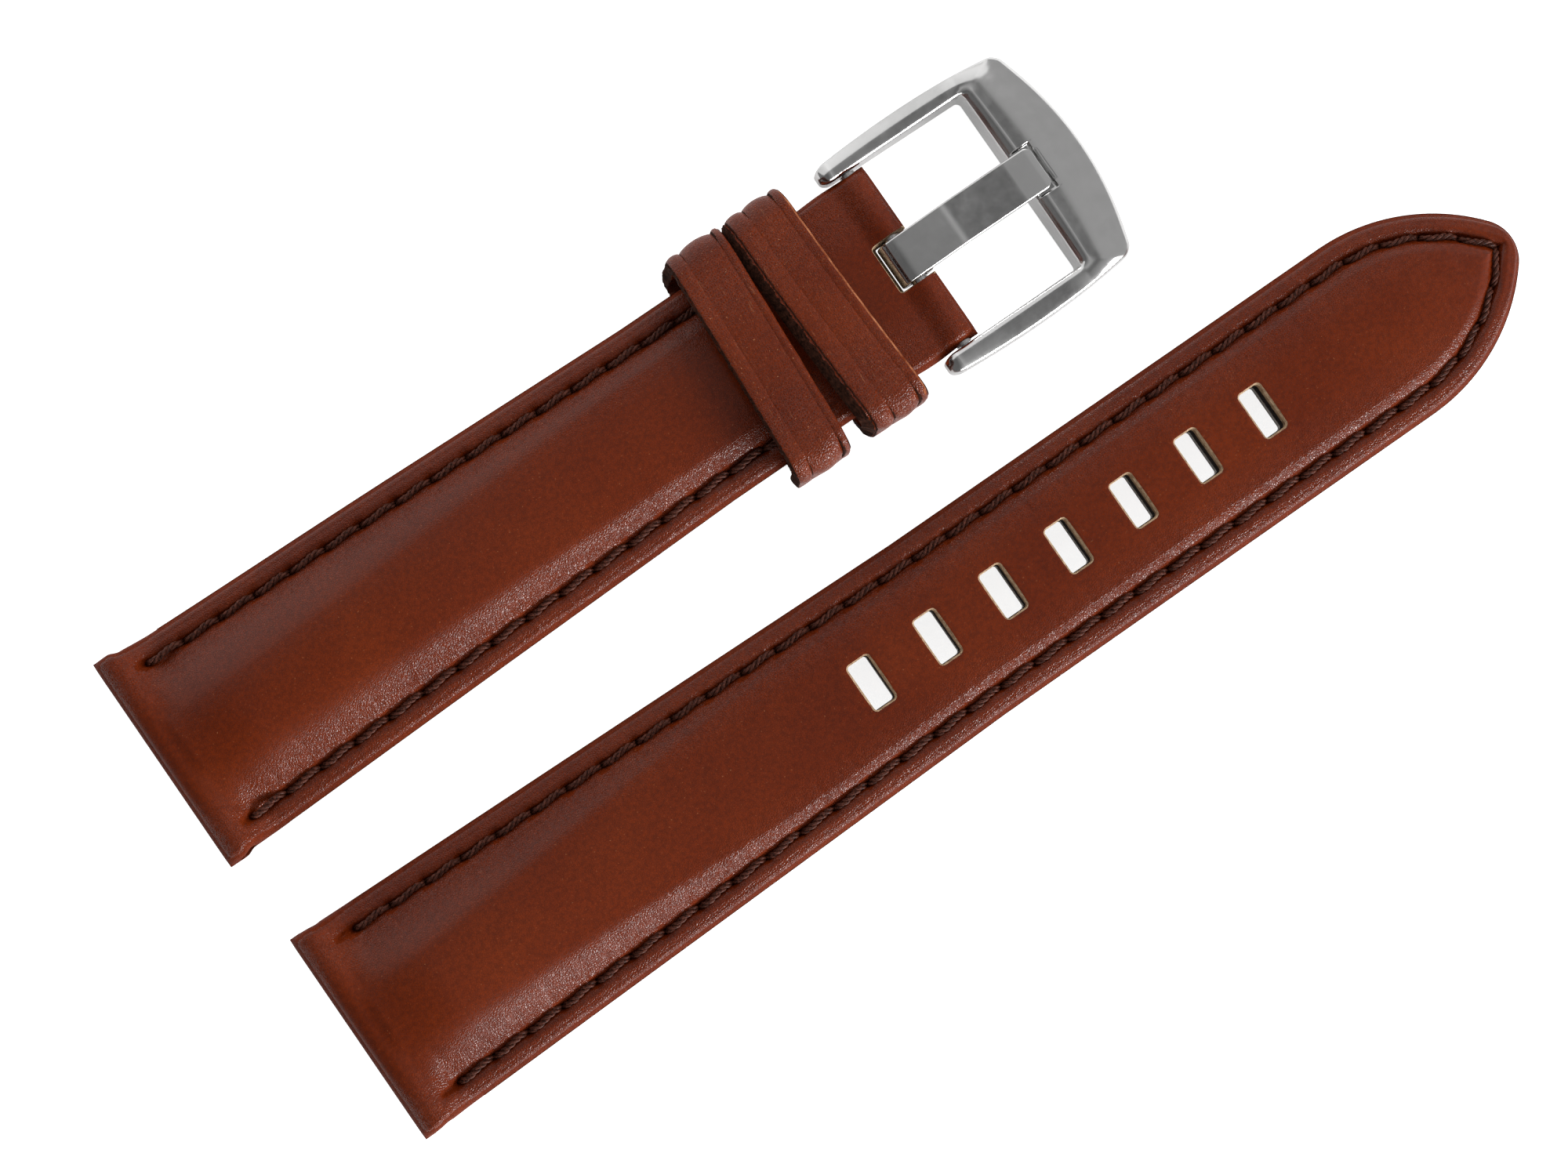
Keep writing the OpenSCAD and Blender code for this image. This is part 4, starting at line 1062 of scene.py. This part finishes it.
buckle = {
    "tipBack": 2.5, "tipRound": 1.3, "window": 12.0, "end": 92.0, "bow": 31.0, "sideBow": 90.0,
    "sideBelly": 6.0, "innerHalf": 8.9, "outerHalf": 11.0,
    "cornerIn": 0.5, "cornerOut": 1.1, "cornerReach": 2.5, "run": 0.6,
    "crest": 2.4, "sag": 240.0, "rest": 0.45, "restWidth": 4.5, "restLength": 2.1, "restSide": 0.08,
    "lowRound": 0.25, "lowReach": 0.3,
    "tipHole": 0.45, "tipHoleFrom": 8.0, "tipHoleTo": 10.15,
}
# heights along X of the arms' top and of the underside
armLine = {"x": [60, 82.5, 84.1, 85.6, 90], "z": [2.05, 2.05, 2.03, 1.95, 1.95]}
lowLine = {"x": [60, 74.0, 83.6, 90.8, 91.7, 92.1], "z": [-0.55, -0.6, -1.4, -1.9, -1.6, -1.1]}
# sections from the inner edge (0) to the outer one (1): the arm's fall below its top, the crossbar's height
armSection = {
    "share": [0, 0.015, 0.05, 0.12, 0.20, 0.30, 0.38, 0.50, 0.62, 0.74, 0.84, 0.91, 0.95, 0.98, 1.0],
    "fall": [0.62, 0.38, 0.26, 0.14, 0.06, 0.015, 0.0, 0.03, 0.10, 0.185, 0.28, 0.36, 0.43, 0.53, 0.95],
}
crossSection = {
    "share": [0, 0.012, 0.03, 0.055, 0.08, 0.105, 0.135, 0.19, 0.29,
              0.40, 0.50, 0.62, 0.72, 0.82, 0.90, 0.955, 0.985, 1.0],
    "height": [1.55, 1.80, 1.92, 2.09, 2.25, 2.36, 2.40, 2.41, 2.40,
               2.36, 2.27, 2.12, 1.94, 1.70, 1.47, 1.22, 0.88, -0.1],
}
armStart = tab["barX"] - buckle["tipBack"]
innerEnd = tab["barX"] + buckle["window"]


def frameOutline(grain=0.03):
    # the outer line from an arm's tip to the middle of the crossbar, in steps of one grain
    def sideY(x):
        return buckle["outerHalf"] - (x - tab["barX"] - buckle["sideBelly"]) ** 2 / (2 * buckle["sideBow"])

    def bowX(y):
        return buckle["end"] - buckle["bow"] + math.sqrt(buckle["bow"] ** 2 - y * y)

    meet = buckle["end"] - 2
    for _ in range(20):  # settles where the side meets the bowed edge
        meet = bowX(sideY(meet))
    side = [(x, sideY(x)) for x in np.linspace(armStart, meet, 400)]
    bowed = [(bowX(y), y) for y in np.linspace(sideY(meet), 0, 400)[1:]]
    line = np.array(side + bowed)
    length = np.concatenate([[0], np.cumsum(np.linalg.norm(np.diff(line, axis=0), axis=1))])
    cornerAt = length[len(side) - 1]
    dense = np.arange(0, length[-1], grain)
    line = np.stack([np.interp(dense, length, line[:, 0]), np.interp(dense, length, line[:, 1])], 1)
    # the corner is rounded by averaging the line there
    window = int(buckle["cornerOut"] / grain)
    rounded = line.copy()
    for i, place in enumerate(dense):
        away = abs(place - cornerAt) / buckle["cornerReach"]
        if away < 1:
            reach = int(window * smooth(1 - away))
            rounded[i] = line[max(0, i - reach):i + reach + 1].mean(0)
    return rounded


def smoothCurve(at, xs, ys):
    # monotone cubic through the given points
    xs, ys = np.array(xs, float), np.array(ys, float)
    step = np.diff(xs)
    rise = np.diff(ys) / step
    slope = np.zeros_like(ys)
    slope[0], slope[-1] = rise[0], rise[-1]
    for i in range(1, len(xs) - 1):
        if rise[i - 1] * rise[i] > 0:
            slope[i] = 2 / (1 / rise[i - 1] + 1 / rise[i])
    i = int(np.clip(np.searchsorted(xs, at) - 1, 0, len(step) - 1))
    t = float(np.clip((at - xs[i]) / step[i], 0, 1))
    return (ys[i] * (1 + 2 * t) * (1 - t) ** 2 + step[i] * slope[i] * t * (1 - t) ** 2
            + ys[i + 1] * t * t * (3 - 2 * t) + step[i] * slope[i + 1] * t * t * (t - 1))


def frameStations():
    # each station is an inner point, an outer point and how far the arm has become crossbar
    outline = frameOutline()
    r, run, innerHalf = buckle["cornerIn"], buckle["run"], buckle["innerHalf"]
    armEnd = innerEnd - r - run
    barStart = innerHalf - r - run
    xs = [*(armStart + buckle["tipRound"] * (1 - np.cos(np.linspace(0.06, math.pi / 2, 14)))),
          *np.linspace(armStart + buckle["tipRound"], armEnd, 40)[1:]]
    stations = [((x, innerHalf), (x, np.interp(x, outline[:, 0], outline[:, 1])), 0.0) for x in xs]
    # fan round the corner
    leave = int(np.argmin(np.abs(outline[:, 0] - armEnd) + (outline[:, 1] < 10) * 9))
    arrive = int(np.argmin(np.abs(outline[:, 1] - barStart) + (outline[:, 0] < 88) * 9))
    steps = np.linspace(0, run, 5)[1:]
    inner = [(armEnd + step, innerHalf) for step in steps]
    inner += [(innerEnd - r + r * math.sin(a), innerHalf - r + r * math.cos(a))
              for a in np.linspace(0, math.pi / 2, 30)[1:]]
    inner += [(innerEnd, innerHalf - r - step) for step in steps]
    places = np.arange(len(outline))
    for n, point in enumerate(inner):
        share = (n + 1) / len(inner)
        at = mix(leave, arrive, share)
        outer = np.interp(at, places, outline[:, 0]), np.interp(at, places, outline[:, 1])
        stations.append((point, outer, float(smooth(share))))
    # crossbar, with extra stations at the sides of the tongue's rest
    atRest = [buckle["restWidth"] / 2 + d for d in (-0.25, -0.16, -0.1, -0.05, 0.0, 0.05, 0.1, 0.16, 0.25)]
    for y in np.unique(np.round([*np.linspace(barStart, 0, 34)[1:], *atRest], 3))[::-1]:
        out = np.interp(-y, -outline[arrive - 5:, 1], outline[arrive - 5:, 0])
        stations.append(((innerEnd, y), (out, y), 1.0))
    return stations + [((a[0], -a[1]), (b[0], -b[1]), c) for a, b, c in stations[::-1] if a[1] > 1e-6]


frameShares = np.unique([*(0.5 - 0.5 * np.cos(np.linspace(0, math.pi, 31))), 0.300, 0.322, 0.336,
                         0.02, 0.05, 0.9, 0.955, 0.985])


def frameRing(inner, outer, blend):
    inner, outer = np.array(inner), np.array(outer)
    width = np.linalg.norm(outer - inner)
    lift = 1.0
    if blend == 0:  # the end of an arm is round from above and from the side
        short = max(0.0, 1 - (inner[0] - armStart) / buckle["tipRound"])
        lift = math.sqrt(max(0.0, 1 - short ** 2))

    def settle(p, z):
        p = mix((inner + outer) / 2, p, 0.25 + 0.75 * lift)
        return np.array([p[0], p[1], tab["barZ"] + (z - tab["barZ"]) * lift])

    def wall(start, end, steps):
        return [mix(start, end, t) for t in np.linspace(0, 1, steps + 2)[1:-1]]

    top, low = [], []
    for s in frameShares:
        p = mix(inner, outer, s)
        arm = np.interp(p[0], armLine["x"], armLine["z"])
        arm -= smoothCurve(s, armSection["share"], armSection["fall"])
        cross = smoothCurve(s, crossSection["share"], crossSection["height"]) - p[1] ** 2 / buckle["sag"]
        z = mix(arm, cross, blend)
        away = max(abs(p[1]) - buckle["restWidth"] / 2, p[0] - innerEnd - buckle["restLength"])
        if blend == 1 and away < 0.2:
            sunk = min(z, buckle["crest"] - buckle["rest"])
            z = mix(sunk, z, smooth((away + buckle["restSide"]) / (2 * buckle["restSide"])))
        top.append(settle(p, z))
    for s in (1.0, 0.99, 0.96, 0.85, 0.6, 0.35, 0.15, 0.05, 0.015, 0.0):
        p = mix(inner, outer, s)
        rounded = 1 - smooth(min(s, 1 - s) * width / buckle["lowReach"])
        z = np.interp(p[0], lowLine["x"], lowLine["z"]) + buckle["lowRound"] * rounded
        low.append(settle(p, z))
    return top + wall(top[-1], low[0], 3) + low + wall(low[-1], top[0], 4)


def makeFrame():
    piece = loft("buckle_polished_frame", [frameRing(*station) for station in frameStations()])
    dress(piece, [steelMat], "buckle", "buckle_frame", 50)
    near, far = buckle["tipHoleFrom"], buckle["tipHoleTo"]
    cutAway([piece], [crossCutter("tipHole", tab["barX"], tab["barZ"], buckle["tipHole"], *span)
                      for span in ((near, far), (-far, -near))], 50)


makeFrame()
print("frame made")


# Tongue: a flat bar bent twice and curled round the spring bar

tongue = {
    "width": 4.0, "thick": 0.8, "curl": 1.2, "curlEnd": 290, "curlSteps": 60, "bend1": 4.7, "bend2": 10.9,
    "tip": 13.8, "tipTop": 2.1, "arch": 0.2, "bend2Rise": 0.16, "tipFall": 0.06, "corner": 0.7, "bevel": 0.17,
    "tipRound": 0.12,
}


def tonguePath():
    # its middle line seen from the side, from the free end of the curl to the tip
    r, top = tongue["curl"], tongue["tipTop"] - tongue["thick"] / 2
    bends = [(tongue["bend1"], top + tongue["arch"]), (tongue["bend2"], top + tongue["bend2Rise"]),
             (tongue["tip"], top - tongue["tipFall"])]
    slope = math.atan2(bends[0][1] - r, bends[0][0])
    turns = np.linspace(math.radians(90 + tongue["curlEnd"]), math.pi / 2 + slope, tongue["curlSteps"])
    line = [(r * math.cos(a), r * math.sin(a)) for a in turns]
    for start, end in zip([line[-1], *bends[:-1]], bends):
        line += [tuple(mix(np.array(start), np.array(end), t)) for t in np.linspace(0, 1, 60)[1:]]
    line = np.array(line)
    # the bends are softened by averaging along the bar
    soft, reach = line.copy(), 4
    for i in range(tongue["curlSteps"] - 5, len(line) - reach):
        soft[i] = line[i - reach:i + reach + 1].mean(0)
    return soft


def rounding(toEnd, radius):
    # how far a rounded end stands back at a distance from it
    short = max(0.0, radius - toEnd)
    return radius - math.sqrt(max(0.0, radius * radius - short * short))


def makeTongue():
    line = tonguePath()
    step = unit(np.gradient(line, axis=0))
    normal = np.stack([-step[:, 1], step[:, 0]], 1)
    bevel = tongue["bevel"]
    quarter = np.linspace(0, math.pi / 2, 5)
    rows = []
    for i, (along, up) in enumerate(line):
        w, t = tongue["width"] / 2, tongue["thick"] / 2
        if i > tongue["curlSteps"] + 10:
            w -= rounding(tongue["tip"] - along, tongue["corner"])
            t -= rounding(tongue["tip"] - along, tongue["tipRound"])
        row = []
        for signY, signT, order in ((1, 1, 1), (-1, 1, -1), (-1, -1, 1), (1, -1, -1)):
            for a in quarter[::order]:
                aside = signY * (w - bevel + bevel * math.cos(a))
                above = signT * (t - bevel + bevel * math.sin(a))
                row.append((tab["barX"] + along + normal[i][0] * above, aside,
                            tab["barZ"] + up + normal[i][1] * above))
        rows.append(row)
    piece = loft("buckle_bent_tongue", rows)
    dress(piece, [steelMat], "tongue", "buckle_tongue", 60)


makeTongue()
for node in ("spring_bar_tube", "spring_bar_left_tip", "spring_bar_right_tip", "spring_bar_spring"):
    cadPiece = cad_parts[node]
    cadPiece.data.materials.clear()
    cadPiece.data.materials.append(barMat)
print("tongue and spring bar made")


# Floor, lamps and surroundings

studio = {
    "floorSize": 24.0, "floorGap": 0.01, "floorColour": (0.80, 0.80, 0.80), "floorRoughness": 0.9,
    "floorGlow": 0.80, "mirrorGlow": 0.20,  # what the camera and what mirrors see of the paper's own light
    # brightness of the room from the lug side (0) over the camera (0.5) to the tip side (1)
    "room": [(0.0, 0.15), (0.30, 0.12), (0.42, 0.22), (0.50, 0.28), (0.55, 0.55), (0.60, 0.14), (0.655, 0.12),
             (0.70, 0.40), (1.0, 0.38)],
}


def makeFloor():
    size = studio["floorSize"] / 2
    data = bpy.data.meshes.new("floor")
    z = (strap["table"] - studio["floorGap"]) * mm
    corners = [(-size, -size, z), (size, -size, z), (size, size, z), (-size, size, z)]
    data.from_pydata(corners, [], [(0, 1, 2, 3)])
    floor = bpy.data.objects.new("floor", data)
    bpy.context.scene.collection.objects.link(floor)
    material, tree, shader, here = startMaterial("floorPaper")
    feed(tree, shader, {"Base Color": studio["floorColour"], "Roughness": studio["floorRoughness"],
                        "Specular IOR Level": 0.1})
    rays = addNode(tree, "LightPath", {}).outputs
    mirrored = addMath(tree, "ADD", rays["Is Glossy Ray"], rays["Is Transmission Ray"], clamp=True)
    seen = addMath(tree, "MULTIPLY", rays["Is Camera Ray"], studio["floorGlow"])
    strength = addMath(tree, "ADD", seen, addMath(tree, "MULTIPLY", mirrored, studio["mirrorGlow"]))
    glow = addNode(tree, "Emission", {"Color": (1, 1, 1), "Strength": strength})
    both = addNode(tree, "AddShader", {0: shader.outputs["BSDF"], 1: glow.outputs["Emission"]})
    output = next(node for node in tree.nodes if node.type == "OUTPUT_MATERIAL")
    feed(tree, output, {"Surface": both.outputs["Shader"]})
    data.materials.append(material)


def addLamp(name, place, aim, size, power, mirrored=True):
    data = bpy.data.lights.new(name, "AREA")
    data.shape = "RECTANGLE"
    data.size, data.size_y = size
    data.energy = power
    lamp = bpy.data.objects.new(name, data)
    bpy.context.scene.collection.objects.link(lamp)
    lamp.location = place
    lamp.rotation_mode = "QUATERNION"
    lamp.rotation_quaternion = (Vector(aim) - Vector(place)).to_track_quat("-Z", "Y")
    lamp.visible_glossy = mirrored


lamps = {
    "frontStrip": {"place": (0.26, -0.62, 0.130), "aim": (0.10, -0.01, 0), "size": (0.40, 0.15),
                   "power": 4.9},
    "frontLeft": {"place": (-0.05, -0.62, 0.130), "aim": (0.04, -0.01, 0), "size": (0.22, 0.15),
                  "power": 0.68},
    "frontSoft": {"place": (0.02, -0.62, 0.30), "aim": (0.04, -0.01, 0), "size": (1.2, 0.20),
                  "power": 2.1, "mirrored": False},
    "backHigh": {"place": (0.05, 0.55, 0.34), "aim": (0.06, -0.01, 0), "size": (1.3, 0.70),
                 "power": 1.9},
    "backSoft": {"place": (0.05, 0.60, 0.17), "aim": (0.06, -0.01, 0), "size": (1.2, 0.30),
                 "power": 2.4, "mirrored": False},
    "tipWindow": {"place": (0.64, 0.02, 0.42), "aim": (0.05, -0.01, 0), "size": (0.6, 0.4),
                  "power": 2.9, "mirrored": False},
}


def makeWorld():
    # a grey room whose brightness changes along X only
    world = bpy.data.worlds.new("studio")
    bpy.context.scene.world = world
    world.use_nodes = True
    tree = world.node_tree
    tree.nodes.clear()
    where = addNode(tree, "TexCoord", {}).outputs["Generated"]
    parts = addNode(tree, "SeparateXYZ", {"Vector": where})
    along = addMath(tree, "MULTIPLY", addMath(tree, "ADD", parts.outputs["X"], 1.0), 0.5)
    stops = [(place, (level,) * 3) for place, level in studio["room"]]
    room = addNode(tree, "Background", {"Color": addRamp(tree, along, stops), "Strength": 1.0})
    addNode(tree, "OutputWorld", {"Surface": room.outputs["Background"]})


makeFloor()
for lampName, lamp in lamps.items():
    addLamp(lampName, **lamp)
makeWorld()
bpy.context.scene.view_settings.view_transform = "Standard"
print("studio made")
